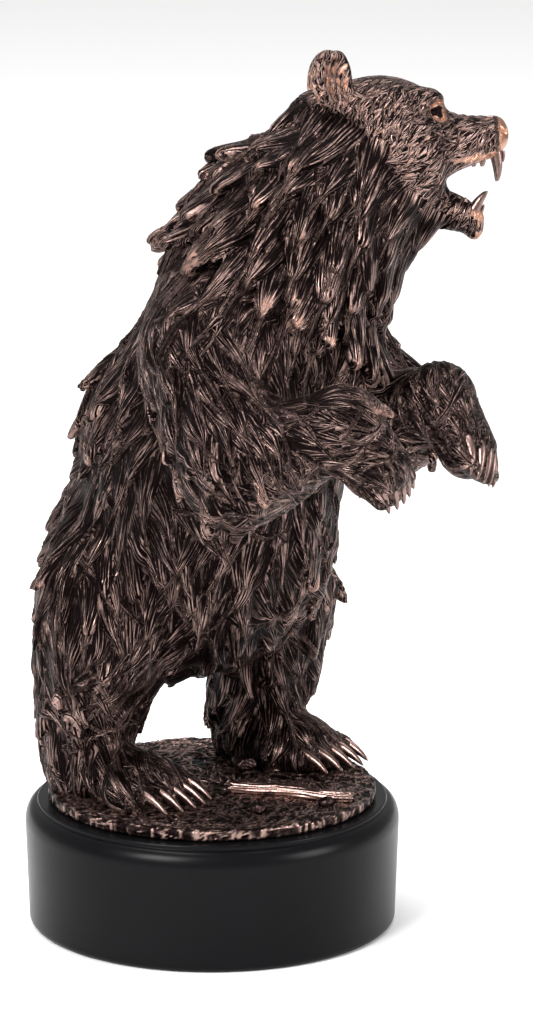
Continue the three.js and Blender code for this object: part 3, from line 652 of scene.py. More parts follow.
def short_haired(points):
    """One on the face and the ears, nought where the hair is long."""
    _, ahead, up = HEAD_AXES @ (points - HEAD_CENTRE).T
    face = ramp(-0.8, 0.8, np.minimum(ahead + 0.66 * up + 4.4, up + 11))
    for side in (-1, 1):
        off = np.linalg.norm(points - on_head(side * EAR[0], *EAR[1:]), axis=1)
        face = np.maximum(face, 1 - ramp(4.4, 5.2, off))
    return face


def hair_at(points):
    """The way the hair grows at points, and its length, half width and height."""
    ways, sizes, total = 0, 0, 0
    nose = on_head(0, 15, 1.5)
    short = short_haired(points)[:, None]
    for start, end, reach, way, size in hair_guides():
        start, end = np.asarray(start, float), np.asarray(end, float)
        along = np.clip((points - start) @ (end - start) / ((end - start) @ (end - start)), 0, 1)
        off = np.linalg.norm(points - start - along[:, None] * (end - start), axis=1)
        weight = (1 / (0.04 + (off / reach) ** 2) ** 3)[:, None]
        grows = unit(points - nose) if way is None else unit(way)
        ways = ways + weight * grows
        sizes = sizes + weight * np.array(size)
        total = total + weight
    return unit(ways), sizes / total * (1 - short) + np.array(FACE_HAIR) * short


def swirl(points):
    """A slow turn of the hair to one side and the other, from sines of the place."""
    x, y, z = points.T
    slow = np.sin(0.31 * x + 1.3) + np.sin(0.27 * y + 0.21 * z) + np.sin(0.24 * z + 2 + 0.2 * x)
    return 0.24 * slow + 0.16 * np.sin(0.8 * z + 0.6 * x)


def spread_out(points, spacing):
    """Numbers of points that lie about evenly: in each cell of a lattice, the one nearest its middle."""
    cell = np.floor(points / spacing).astype(np.int64)
    off = np.linalg.norm(points / spacing - cell - 0.5, axis=1)
    key = (cell[:, 0] * 4096 + cell[:, 1]) * 4096 + cell[:, 2]
    order = np.lexsort((off, key))
    first = np.ones(len(order), bool)
    first[1:] = key[order][1:] != key[order][:-1]
    return order[first]


class Tufts:
    """Wisps of hair laid like shingles: each rises from its root and ends in a pointed tip."""

    def __init__(self, roots, outs, ways, sizes, seed, stray=0.16, sway=1.0):
        """Sizes are length, half width and height. Each tuft varies, strays, sways and hooks to one side."""
        chance = np.random.default_rng(seed)
        self.root, self.out = roots, outs
        down = unit(ways - outs * (ways * outs).sum(1, keepdims=True))
        turn = (sway * swirl(roots) + chance.normal(0, stray, len(roots)))[:, None]
        self.way = down * np.cos(turn) + np.cross(outs, down) * np.sin(turn)
        self.across = np.cross(self.out, self.way)
        vary = chance.uniform(0.8, 1.25, (3, len(roots)))
        self.length, self.width, self.height = (sizes.T * vary).reshape(3, -1)
        bent = chance.uniform(0.15, 0.75, len(roots))
        self.hook = (0.3 + 0.7 * sway) * bent * chance.choice([-1, 1], len(roots))
        self.tone = chance.uniform(0, 1, len(roots))

    def place(self, points, n):
        """Where points lie on wisps n: 0 to 1 from root to tip, and -1 to 1 from edge to edge."""
        offset = points - self.root[n]
        along = (offset * self.way[n]).sum(-1) / self.length[n]
        across = (offset * self.across[n]).sum(-1) / self.width[n]
        bend = self.hook[n] * np.clip(along, 0, 1.5) ** 2
        return along, (across - bend) / np.clip(1 - along, 0.03, 1) ** 0.5

    def join(self, others):
        """Takes other tufts in."""
        for name in ("root", "out", "way", "across", "length", "width", "height", "hook", "tone"):
            setattr(self, name, np.concatenate([getattr(self, name), getattr(others, name)]))

    def way_at(self, points):
        """The way of the hair at points, along the bend of the tallest tuft over each."""
        n = lay_tufts(points, self)[1]
        along, _ = self.place(points, n)
        lean = 2 * self.hook[n] * np.clip(along, 0, 1) * self.width[n] / self.length[n]
        return unit(self.way[n] + self.across[n] * lean[:, None])

    def rise(self, points, n):
        """Height of wisp n over points: a rounded crown that grows to the tip, below nought off the wisp."""
        along, across = self.place(points, n)
        off = np.abs((points - self.root[n]) @ self.out[n]) / (self.width[n] + 0.5 * self.length[n])
        grown = ramp(-0.35, 0.1, along) * (0.35 + 0.65 * ramp(0, 0.85, along))
        crown = np.sqrt(np.clip(1 - across**2, 0, 1))
        astray = np.clip(np.abs(across) - 1, 0, 9) + 3 * np.clip(along - 1, 0, 9)
        astray += 3 * np.clip(-0.35 - along, 0, 9) + 4 * np.clip(off - 1, 0, 9)
        return self.height[n] * grown * crown * (off < 1) - 0.03 * astray


def mane_tufts(locks):
    """The mane's own locks once more as tufts, with sharp edges and hair lines that follow them."""
    outs = np.array([lock.out for lock in locks])
    widths = np.array([lock.radius for lock in locks])
    roots = np.array([lock.root for lock in locks]) + outs * widths[:, None] * LOCK_DEPTH
    ways = np.array([lock.tip for lock in locks]) - roots
    lengths = np.linalg.norm(ways, axis=1) + 0.5 * widths
    sizes = np.stack([lengths, widths, MANE_TUFT_HEIGHT * widths], 1)
    return Tufts(roots, outs, ways, sizes, seed=7, stray=0.08, sway=0.0)


def lay_tufts(points, tufts):
    """Height of the tallest wisp over each point, and which wisp that is."""
    order = np.argsort(points[:, 2])
    heights = points[order, 2]
    best = np.full(len(points), -9.0)
    owner = np.zeros(len(points), np.int64)
    for n in range(len(tufts.root)):
        reach = 1.4 * tufts.length[n]
        root = tufts.root[n]
        first, last = np.searchsorted(heights, [root[2] - reach, root[2] + reach])
        near = order[first:last]
        near = near[np.abs(points[near] - root).max(1) < reach]
        rise = tufts.rise(points[near], n)
        taller = near[rise > best[near]]
        best[taller] = rise[rise > best[near]]
        owner[taller] = n
    return np.maximum(best, 0), owner


def put(name, data):
    """A new object of the data, in the scene."""
    thing = bpy.data.objects.new(name, data)
    bpy.context.scene.collection.objects.link(thing)
    return thing


def mesh_piece(name, vertices, faces, material):
    """An object of a mesh with equal faces, smooth, that rides on the frame. Places are in metres."""
    mesh = bpy.data.meshes.new(name)
    corners = faces.shape[1]
    mesh.vertices.add(len(vertices))
    mesh.vertices.foreach_set("co", vertices.astype(np.float32).ravel())
    mesh.loops.add(faces.size)
    mesh.loops.foreach_set("vertex_index", faces.astype(np.int32).ravel())
    mesh.polygons.add(len(faces))
    mesh.polygons.foreach_set("loop_start", np.arange(0, faces.size, corners, dtype=np.int32))
    mesh.update(calc_edges=True)
    mesh.shade_smooth()
    mesh.materials.append(material)
    piece = put(name, mesh)
    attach(piece, "root")
    return piece


def add_values(piece, name, values, domain="POINT"):
    """Writes a number, or a vector, for each point or corner of a piece."""
    values = np.asarray(values, np.float32)
    kind, field = ("FLOAT_VECTOR", "vector") if values.ndim == 2 else ("FLOAT", "value")
    attribute = piece.data.attributes.new(name, kind, domain)
    attribute.data.foreach_set(field, values.ravel())


def to_metres(points):
    """Places in metres of points in per cent of the figure's height."""
    return points * SHARE + (0, 0, GROUND_TOP)


def inside_box(points, box, margin=0.00005):
    """Points moved into a box, where they stick out."""
    return np.clip(points, box[0] + margin, box[1] - margin)


def sampling_grid():
    """A coarse grid of the whole bear, from which the forms and the roots of the hair are taken."""
    heights = [0, 40, 60, 72, 82, 104]
    middles = [(1, 3), (1, -8), (0.5, -11), (3, -13), (11, -15), (14, -18)]
    return Clay(-3, 104, 104, heights, middles, [0.8, 0.72, 0.7, 0.62, 0.48, 0.44])


def head_region(x, y, z):
    """Distance from the ball that holds the head."""
    cx, cy, cz = on_head(0, 2, 0)
    return np.sqrt((x - cx) ** 2 + (y - cy) ** 2 + (z - cz) ** 2) - HEAD_REACH


def trunk_region(x, y, z):
    """Distance from the part between the haunches and the head."""
    return np.maximum(SPLIT_HEIGHT - z + 0 * x + 0 * y, -head_region(x, y, z))


def haunch_region(x, y, z):
    """Distance from the part below the elbows."""
    return z - SPLIT_HEIGHT + 0 * x + 0 * y


def skin_grids(coarser):
    """The name, grid and region of each stretch of the skin; coarser widens the cells."""
    cell = FINE_CELL * coarser
    fine = FACE_CELL * coarser
    head = on_head(0, 2, 0)
    sides = [int(49 / cell), int(64 / cell), int(34 / fine)]
    low = Clay(-1.6, SPLIT_HEIGHT + 2, sides[0], [0, 44], [(1, 6), (1, 2)], [cell, cell])
    waist = [40, 50, 60, 76, 100]
    middles = [(0, -8.5), (0, -9.5), (0, -11), (4, -13), (10, -12)]
    trunk = Clay(SPLIT_HEIGHT - 2, 97, sides[1], waist, middles, [cell] * 5)
    top = Clay(head[2] - 16.6, 104, sides[2], [60, 110], [head[:2], head[:2]], [fine, fine])
    names = ("bear_haunches", "bear_trunk", "bear_head")
    return zip(names, (low, trunk, top), (haunch_region, trunk_region, head_region))


def hair_roots(points, quads, share, seed, stray, locks=None):
    """Locks on a skin, closer where the hair is short, or the wisps of locks, a share of their size."""
    outs = triangle_normals(points, quads)
    ways, sizes = hair_at(points)
    sizes = sizes * share
    spacing = np.sqrt(1.05 * sizes[:, 0] * sizes[:, 1])
    grade = np.round(np.log2(spacing) * 2).astype(int)
    chosen = []
    for level in np.unique(grade):
        members = np.flatnonzero(grade == level)
        chosen.append(members[spread_out(points[members], 2 ** (level / 2))])
    chosen = np.concatenate(chosen)
    chosen = chosen[points[chosen, 2] > 0.2]
    if locks is None:
        return Tufts(points[chosen], outs[chosen], ways[chosen], sizes[chosen], seed, stray)
    chosen = chosen[short_haired(points[chosen]) < 0.5]
    return Tufts(points[chosen], outs[chosen], locks.way_at(points[chosen]), sizes[chosen], seed, stray, 0.0)


def snout_folds(points):
    """Folds of skin beside and above the nose, as small waves that fade out backwards."""
    side, ahead, up = HEAD_AXES @ (points - HEAD_CENTRE).T
    beside = ramp(8, 10.5, ahead) * (1 - ramp(12, 13.2, ahead)) * ramp(-3.2, -2, up)
    above = ramp(5, 6.5, ahead) * (1 - ramp(9, 11, ahead)) * ramp(0.5, 2, up)
    waves = np.sin(5.2 * up - 0.9 * ahead + 0.6 * np.abs(side)) * beside
    return 0.09 * waves + 0.06 * np.sin(5.5 * ahead + 1.6 * np.abs(side)) * above


def face_finish(points):
    """How far the face is rubbed, how dark its eyes are and how bare of hair it is."""
    side, ahead, up = HEAD_AXES @ (points - HEAD_CENTRE).T
    off = np.linalg.norm(np.stack([np.abs(side) - EYE[0], ahead - EYE[1], up - EYE[2]]), axis=0)
    eye = 1 - ramp(0.95, 1.25, off)
    lids = ramp(1, 1.3, off) * (1 - ramp(1.5, 2.1, off))
    nose = ramp(12.2, 13.2, ahead) * ramp(-4.5, -3, up)
    chin = ramp(7.8, 9.8, ahead) * (1 - ramp(-9.6, -8.8, up)) * ramp(-15, -14, up)
    lip = ramp(5.5, 8, ahead) * np.exp(-(((up + 3.6 - 0.12 * (ahead - 6)) / 0.5) ** 2))
    bare = 0.5 * lids + 0.85 * nose + 0.6 * chin + 0.4 * lip
    smooth = np.maximum(1 - ramp(1.5, 2.3, off), ramp(12, 12.8, ahead) * ramp(-4.5, -3, up))
    return (bare + 0.5 * short_haired(points)) * (1 - eye), eye, smooth


def make_skin(name, clay, locks, wisps, material, hair_height):
    """One stretch of the bear's skin, with its hair raised, its rubbed places marked, and its patina and
    painted shade marked.
    """
    points, quads = skin_of(clay)
    outs = triangle_normals(points, quads)
    lift, under = lay_tufts(points, locks)
    rise, owner = lay_tufts(points, wisps)
    tall, full = locks.height[under], wisps.height[owner]
    step, crest = np.clip(lift / tall, 0, 1), np.clip(rise / full, 0, 1)
    thin = 1 + clay.sample(points - outs * CREST_REACH) / CREST_REACH
    # Patina and painted shade in creases: how closely the skin is surrounded a little way out along its
    # normal.
    crease_patina_shade = 1 - clay.sample(points + outs * HOLLOW_REACH) / HOLLOW_REACH
    rubbed, eye, smooth = face_finish(points)
    raised = (lift - 0.5 * tall + rise - 0.5 * full) * hair_height * (1 - smooth)
    points = points + outs * (raised + snout_folds(points))[:, None]
    piece = mesh_piece(name, inside_box(to_metres(points), BEAR_BOX), quads, material)
    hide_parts("bear")
    ridge = 0.3 * ramp(0.6, 1, step) + 0.3 * ramp(0.4, 1, crest) + 0.3 * ramp(0.45, 1, thin)
    add_values(piece, "rub", np.clip(ridge + rubbed, 0, 1.2))
    # Painted shade under the ledge of each lock, near its root where the lock above overhangs, and between the
    # wisps.
    shade_under_locks = 0.75 * (1 - ramp(0.1, 0.75, step)) + 0.2 * (1 - crest)
    # Patina and painted shade together: the creases, the shade under the locks, and the eyes, which are made
    # fully dark.
    patina_shade_sum = np.clip(crease_patina_shade, 0, 1) + shade_under_locks * (1 - 0.65 * short_haired(points)) * (1 - smooth) + eye
    add_values(piece, "patina_and_shade", np.clip(patina_shade_sum, 0, 1))
    tallest = under[quads[np.arange(len(quads)), np.argmax(lift[quads], 1)]]
    corners = np.repeat(tallest, 4)
    along, across = locks.place(points[quads.reshape(-1)], corners)
    strand = np.clip(across, -2, 2) * locks.width[corners]
    values = np.stack([strand, np.clip(along, -1, 1.5) * locks.length[corners], locks.tone[corners]], 1)
    add_values(piece, "tuft", values * (1 - smooth)[quads.reshape(-1), None], "CORNER")


def build_bear(material, hair_height, coarser):
    """The whole skin: the forms are worked out once on a coarse grid and repeated on the fine ones."""
    model = sampling_grid()
    shape_torso(model)
    shape_neck(model)
    for leg in LEGS:
        shape_leg(model, leg)
    for arm in ARMS:
        shape_arm(model, arm)
    shape_head(model)
    for lock in coat_locks(model):
        model.blend(lock, COAT_SOFTNESS)
    mane = mane_locks(model)
    for lock in mane:
        model.blend(lock, MANE_SOFTNESS)
    for side in (-1, 1):
        shape_ear(model, side)
    points, quads = skin_of(model)
    locks = hair_roots(points, quads, share=1.0, seed=5, stray=0.16)
    locks.join(mane_tufts(mane))
    wisps = hair_roots(points, quads, share=WISP, seed=9, stray=0.07, locks=locks)
    for name, clay, region in skin_grids(coarser):
        clay.repeat(model.steps)
        if name == "bear_head":
            refine_face(clay)
        clay.limit(region)
        np.maximum(clay.values, -1 - clay.levels[None, None, :], out=clay.values, casting="same_kind")
        fill_pinches(clay.values)
        make_skin(name, clay, locks, wisps, material, hair_height)


def tube(rings, sides):
    """Faces of a closed tube: its rings' points, then its two ends. A doubled corner makes a triangle."""
    i = np.arange(sides)
    j = (i + 1) % sides
    first = rings * sides
    faces = [np.stack([np.full(sides, first), i, j, j], 1)]
    for at in range(0, first - sides, sides):
        faces.append(np.stack([at + i, at + sides + i, at + sides + j, at + j], 1))
    at = first - sides
    faces.append(np.stack([at + i, np.full(sides, first + 1), at + j, at + j], 1))
    return np.concatenate(faces)


def triangles_of(quads):
    """Triangles of quads, less those that a doubled corner leaves without an area."""
    halves = np.concatenate([quads[:, :3], quads[:, [0, 2, 3]]])
    return halves[(halves != np.roll(halves, 1, 1)).all(1)]


HORN_FLATNESS = 0.8
HORN_SIDES = 16
HORN_RINGS = 14


def horns(roots, tips, sags, radii):
    """Claws or teeth as one mesh: each follows a parabola from root to tip and narrows to a blunt point."""
    roots, tips, sags = (np.asarray(a, float)[:, None] for a in (roots, tips, sags))
    t = (np.arange(HORN_RINGS) / HORN_RINGS)[None, :, None]
    middles = (roots + tips) / 2 + sags
    spine = (1 - t) ** 2 * roots + 2 * t * (1 - t) * middles + t**2 * tips
    heading = unit(2 * (1 - t) * (middles - roots) + 2 * t * (tips - middles))
    side = unit(np.cross(heading, sags + (0.01, 0.02, 0.03)))
    above = np.cross(side, heading)
    radius = np.asarray(radii, float)[:, None, None] * np.sqrt(1 - t**1.7) * (1 - 0.25 * t)
    turn = np.arange(HORN_SIDES) / HORN_SIDES * 2 * np.pi
    rim = side[:, :, None] * (HORN_FLATNESS * np.cos(turn))[None, None, :, None]
    rim = rim + above[:, :, None] * np.sin(turn)[None, None, :, None]
    wall = spine[:, :, None] + radius[:, :, None] * rim
    points = np.concatenate([wall.reshape(len(roots), -1, 3), roots, tips], 1)
    starts = points.shape[1] * np.arange(len(roots))[:, None, None]
    return points.reshape(-1, 3), (tube(HORN_RINGS, HORN_SIDES)[None] + starts).reshape(-1, 4)


def all_claws():
    """Roots, tips, sags and radii of the claws of both feet and both paws."""
    rows = []
    for leg in LEGS:
        for toe in TOES:
            root = toe_place(leg["foot"][2], toe, leg["spread"] * TOE_FLARE) + (0, 0.2, 0.5)
            rows.append((root + (0, 1.2, 0.5), root + (0.1 * toe, -5, -1.6), (0, 0, 1.3), 0.95))
    for arm in ARMS:
        hang = unit(arm["joints"][3] - arm["joints"][2])
        front = unit(np.array([0, -1, 0]) + hang * hang[1])
        for toe in TOES:
            root = finger_place(arm, toe, -0.8) + front * (2.6 - 0.3 * toe * toe)
            tip = finger_place(arm, toe, 1.6) + hang * 3 + (0, 0.7, 0)
            rows.append((root, tip, front * 1.1, 0.9))
    return [np.array(column, float) for column in zip(*rows)]


def all_teeth():
    """Roots, tips, sags and radii of the fangs and of the small teeth between and behind them."""
    ahead = HEAD_AXES[1]
    rows = []
    for side in (-1, 1):
        rows.append((on_head(side * 1.5, 12, -2), on_head(side * 1.5, 12.2, -6.3), ahead * 0.5, 0.75))
        rows.append((on_head(side * 1.3, 9, -9.9), on_head(side * 1.5, 10.9, -7.4), -ahead * 0.3, 0.72))
        for n in range(4):
            place = (side * (1.6 + 0.15 * n), 10.4 - 1.1 * n)
            rows.append((on_head(*place, -3), on_head(*place, -4.3), ahead * 0.1, 0.42))
            low = on_head(side * 1.3, 8 - 0.9 * n, -9.2 + 0.3 * n)
            rows.append((low, low + HEAD_AXES[2] * 1.1, ahead * 0.05, 0.36))
    for n in (-1, 0, 1):
        rows.append((on_head(n * 0.55, 13.1, -2.4), on_head(n * 0.55, 13.1, -3.8), ahead * 0.1, 0.3))
        rows.append((on_head(n * 0.5, 10, -10), on_head(n * 0.5, 10.4, -9.1), ahead * 0.1, 0.27))
    return [np.array(column, float) for column in zip(*rows)]


def make_horns(name, rows, material):
    """A piece of claws or teeth."""
    points, quads = horns(*rows)
    mesh_piece(name, inside_box(to_metres(points), BEAR_BOX), triangles_of(quads), material)


def lathe(profile, sides):
    """A turned form from a profile of radius and height that starts and ends on the axis."""
    profile = np.asarray(profile, float)
    inner = profile[1:-1]
    turn = np.arange(sides) / sides * 2 * np.pi
    x = inner[:, 0, None] * np.cos(turn)
    y = inner[:, 0, None] * np.sin(turn)
    z = np.repeat(inner[:, 1, None], sides, 1)
    ends = [[0, 0, profile[0, 1]], [0, 0, profile[-1, 1]]]
    points = np.concatenate([np.stack([x, y, z], 2).reshape(-1, 3), ends])
    return points, tube(len(inner), sides)[:, [0, 3, 2, 1]]


def quarter(steps):
    """Angles of a quarter turn in equal steps, both ends included."""
    return np.linspace(0, np.pi / 2, steps + 1)


def shoulder(widest, low, inset, rise, steps):
    """A rounded edge of a profile, from upright below to level above."""
    return [(widest - inset * (1 - math.cos(a)), low + rise * math.sin(a)) for a in quarter(steps)]


TURF_SIDES = 420
TURF_RINGS = 150
BLADE_SPACING = 0.95
BLADE = [1.9, 0.36, 0.3]
BLADE_SINK = 0.22


def make_ground(material):
    """The cast ground: a disc with a rounded rim, matted with short grass laid every way."""
    bottom, top, edge = BEAR_BOX[0][2], GROUND_TOP, GROUND_EDGE
    profile = [(r, bottom) for r in (0, GROUND_RADIUS * 0.5, GROUND_RADIUS - 0.0004)]
    profile.append((GROUND_RADIUS, bottom + 0.0004))
    profile += [(GROUND_RADIUS, z) for z in np.linspace(bottom + 0.001, top - edge - 0.0003, 4)]
    profile += shoulder(GROUND_RADIUS, top - edge, edge, edge, 5)
    profile += [(r, top) for r in np.linspace(GROUND_RADIUS - edge - 0.0004, 0.0006, TURF_RINGS)]
    profile.append((0, top))
    points, quads = lathe(profile, TURF_SIDES)
    shares = (points - (0, 0, GROUND_TOP)) / SHARE
    normals = triangle_normals(shares, quads)
    chance = np.random.default_rng(11)
    roots = spread_out(shares, BLADE_SPACING)
    roots = roots[shares[roots, 2] > -1.3]
    ways = chance.normal(0, 1, (len(roots), 3))
    blades = Tufts(shares[roots], normals[roots], ways, np.tile(BLADE, (len(roots), 1)), seed=3)
    rise, owner = lay_tufts(shares, blades)
    crest = np.clip(rise / blades.height[owner], 0, 1)
    loose = (shares[:, 2] > -1.35) & (np.hypot(shares[:, 0], shares[:, 1]) > 0)
    raised = shares + normals * ((rise - BLADE_SINK) * loose)[:, None]
    vertices = inside_box(to_metres(raised), BEAR_BOX)
    out = np.hypot(vertices[:, 0], vertices[:, 1])
    vertices[:, :2] *= (np.minimum(out, GROUND_RADIUS) / np.maximum(out, 1e-9))[:, None]
    piece = mesh_piece("ground", vertices, triangles_of(quads), material)
    add_values(piece, "rub", 0.75 * ramp(0.5, 1, crest))
    # Patina and painted shade between the grass blades: darker where a blade's crown is low.
    add_values(piece, "patina_and_shade", 0.8 * (1 - crest))


def make_stick(material):
    """A broken stick with grooved bark, one end split along the grain."""
    sides, rings = 56, 90
    t = np.linspace(0, 1, rings)[:, None]
    turn = (np.arange(sides) / sides * 2 * np.pi)[None]
    start, end = np.array([-2.3, -4.6]), np.array([5.9, -19.4])
    heading = unit(np.append(end - start, 0))
    side = np.cross(heading, (0, 0, 1))
    grooves = 0.055 * np.sin(13 * turn + 2.2 * np.sin(9 * t)) + 0.03 * np.sin(7 * turn - 14 * t)
    knot = 0.16 * np.exp(-(((t - 0.36) / 0.05) ** 2)) * np.cos(turn - 1.2) ** 2
    split = -0.34 * ramp(0.5, 0.9, t) * ramp(0.1, 0.9, np.cos(turn - 2.2))
    radius = STICK_RADIUS * (0.84 + 0.14 * t) * (1 + grooves + knot + split)
    bend = 0.0016 * np.sin(4 * (t - 0.5))
    along = (t - 0.5) * STICK_LENGTH + 0.0009 * np.sin(5 * turn + 1) * (t - 0.5) * 2
    middle = np.append((start + end) / 2 * SHARE, GROUND_TOP + 0.56 * STICK_RADIUS)
    across = (radius * np.cos(turn) + bend)[..., None] * side
    above = (radius * np.sin(turn))[..., None] * np.array([0, 0, 1])
    points = middle + along[..., None] * heading + across + above
    ends = np.stack([points[0].mean(0), points[-1].mean(0)])
    points = inside_box(np.concatenate([points.reshape(-1, 3), ends]), BEAR_BOX)
    mesh_piece("stick", points, outward(points, triangles_of(tube(rings, sides))), material)


def outward(points, triangles):
    """Triangles of a closed form, turned over if they face inwards."""
    a, b, c = (points[triangles[:, n]] for n in range(3))
    return triangles if (a * np.cross(b, c)).sum() > 0 else triangles[:, ::-1]


# Places of the stones in shares, and their sizes against the first
STONES = (((7.4, 0.6), 1.0), ((-6.2, -13.3), 0.55), ((1.6, -18), 0.6))
STONE_CUTS = 16


def make_stones(material):
    """Rough stones sunk into the ground: balls with broken, faceted faces."""
    rings, sides = 30, 44
    tilt = np.linspace(0, np.pi, rings + 1)[1:-1, None]
    turn = (np.arange(sides) / sides * 2 * np.pi)[None]
    ball = [np.sin(tilt) * np.cos(turn), np.sin(tilt) * np.sin(turn), np.cos(tilt) + 0 * turn]
    ball = np.concatenate([np.stack(ball, 2).reshape(-1, 3), [[0, 0, 1], [0, 0, -1]]])
    one = triangles_of(tube(rings - 1, sides))
    chance = np.random.default_rng(23)
    points, triangles = [], []
    for number, ((x, y), scale) in enumerate(STONES):
        cuts = unit(chance.normal(0, 1, (STONE_CUTS, 3)))
        depth = chance.uniform(0.72, 0.95, STONE_CUTS)
        reach = ball @ cuts.T
        limits = np.where(reach > 0.05, depth / np.maximum(reach, 0.05), 9)
        rough = np.sin(17 * ball[:, 0] + 3) * np.sin(15 * ball[:, 1] + 13 * ball[:, 2])
        size = np.minimum(limits.min(1), 1.06) + 0.03 * rough
        stone = ball * size[:, None] * (1, 1, 0.8) * STONE_RADIUS * scale
        points.append(stone + (x * SHARE, y * SHARE, GROUND_TOP + 0.4 * STONE_RADIUS * scale))
        triangles.append(one + number * len(ball))
    points = inside_box(np.concatenate(points), BEAR_BOX)
    mesh_piece("stones", points, outward(points, np.concatenate(triangles)), material)


def held(start, end):
    """A straight run of a profile with points close to both ends, so that its shading stays flat."""
    start, end = np.array(start, float), np.array(end, float)
    way = unit(end - start) * min(0.0003, 0.2 * np.linalg.norm(end - start))
    return [tuple(start), tuple(start + way), tuple(end - way), tuple(end)]


# Sizes of the plinth in metres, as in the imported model
PLINTH_FOOT_RADIUS = 0.0623
PLINTH_FOOT_ROUND = 0.0024
PLINTH_SIDE_HEIGHT = 0.0356
SHOULDER_RISE = 0.0063
SHOULDER_INSET = 0.0041
STEP_ROUND = 0.0007
PLINTH_SIDES = 240


def make_plinth(material):
    """The turned plinth: a rounded foot, an upright side, a rounded shoulder and a low step."""
    widest, top = PLINTH_BOX[1][0], PLINTH_BOX[1][2]
    foot, low_round, side = PLINTH_FOOT_RADIUS, PLINTH_FOOT_ROUND, PLINTH_SIDE_HEIGHT
    step = widest - SHOULDER_INSET
    profile = [(0, 0)] + held((0.001, 0), (foot - low_round, 0))
    for a in quarter(6)[1:]:
        profile.append((foot - low_round * (1 - math.sin(a)), low_round * (1 - math.cos(a))))
    profile += held((foot, low_round), (widest, side))[1:]
    profile += shoulder(widest, side, SHOULDER_INSET, SHOULDER_RISE, 12)[1:]
    profile += held((step, side + SHOULDER_RISE), (step, top - STEP_ROUND))[1:]
    profile += shoulder(step, top - STEP_ROUND, STEP_ROUND, STEP_ROUND, 5)[1:]
    profile += held((step - STEP_ROUND, top), (0.001, top))[1:] + [(0, top)]
    points, quads = lathe(profile, PLINTH_SIDES)
    points = inside_box(points, PLINTH_BOX, 0)
    piece = mesh_piece("plinth_turned", points, triangles_of(quads), material)
    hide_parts("plinth")


# Materials


class Nodes:
    """Puts nodes into a tree and links them; a number or a colour given for a socket is set on it."""

    def __init__(self, tree):
        self.tree = tree

    def add(self, kind, settings=None, **sockets):
        """A node of a kind, with its settings, and sockets by name with _ for spaces."""
        node = self.tree.nodes.new(kind)
        for name, value in (settings or {}).items():
            setattr(node, name, value)
        for name, value in sockets.items():
            self.feed(node.inputs[name.replace("_", " ")], value)
        return node

    def feed(self, socket, value):
        """Links an output to a socket, or sets the socket's own value."""
        if isinstance(value, bpy.types.NodeSocket):
            self.tree.links.new(value, socket)
        else:
            socket.default_value = value

    def math(self, operation, first, second=0.0, clamp=False):
        """One sum of two values."""
        node = self.add("ShaderNodeMath", {"operation": operation, "use_clamp": clamp})
        self.feed(node.inputs[0], first)
        self.feed(node.inputs[1], second)
        return node.outputs[0]

    def mix(self, share, first, second):
        """A colour between two."""
        node = self.add("ShaderNodeMix", {"data_type": "RGBA"})
        self.feed(node.inputs[0], share)
        self.feed(node.inputs[6], first)
        self.feed(node.inputs[7], second)
        return node.outputs[2]

    def between(self, value, low, high, to_low=0.0, to_high=1.0):
        """A value mapped smoothly from one range to another."""
        node = self.add("ShaderNodeMapRange", {"interpolation_type": "SMOOTHSTEP"})
        for n, item in enumerate((value, low, high, to_low, to_high)):
            self.feed(node.inputs[n], item)
        return node.outputs[0]

    def attribute(self, name, kind="Fac"):
        """What a piece holds under a name."""
        node = self.add("ShaderNodeAttribute", {"attribute_name": name, "attribute_type": "GEOMETRY"})
        return node.outputs[kind]

    def place(self):
        """The place on the object."""
        return self.add("ShaderNodeTexCoord").outputs["Object"]

    def noise(self, place, scale, **sockets):
        """Smooth noise at a place."""
        return self.add("ShaderNodeTexNoise", Vector=place, Scale=scale, **sockets).outputs[0]

    def bump(self, shader, height, distance, strength=1.0):
        """Lets a height tilt a shader's surface."""
        bump = self.add("ShaderNodeBump", Strength=strength, Distance=distance, Height=height)
        self.feed(shader.inputs["Normal"], bump.outputs[0])


def new_group(name, inputs, outputs):
    """An empty node group with its sockets: its tree, its nodes and the two ends."""
    group = bpy.data.node_groups.new(name, "ShaderNodeTree")
    for label, kind, value in inputs:
        socket = group.interface.new_socket(label, in_out="INPUT", socket_type=kind)
        if value is not None:
            socket.default_value = value
    for label, kind in outputs:
        group.interface.new_socket(label, in_out="OUTPUT", socket_type=kind)
    nodes = Nodes(group)
    return group, nodes, nodes.add("NodeGroupInput").outputs, nodes.add("NodeGroupOutput").inputs


def opaque(colour, share=1):
    """A share of a colour, with nothing seen through it."""
    return (*[share * part for part in colour], 1)


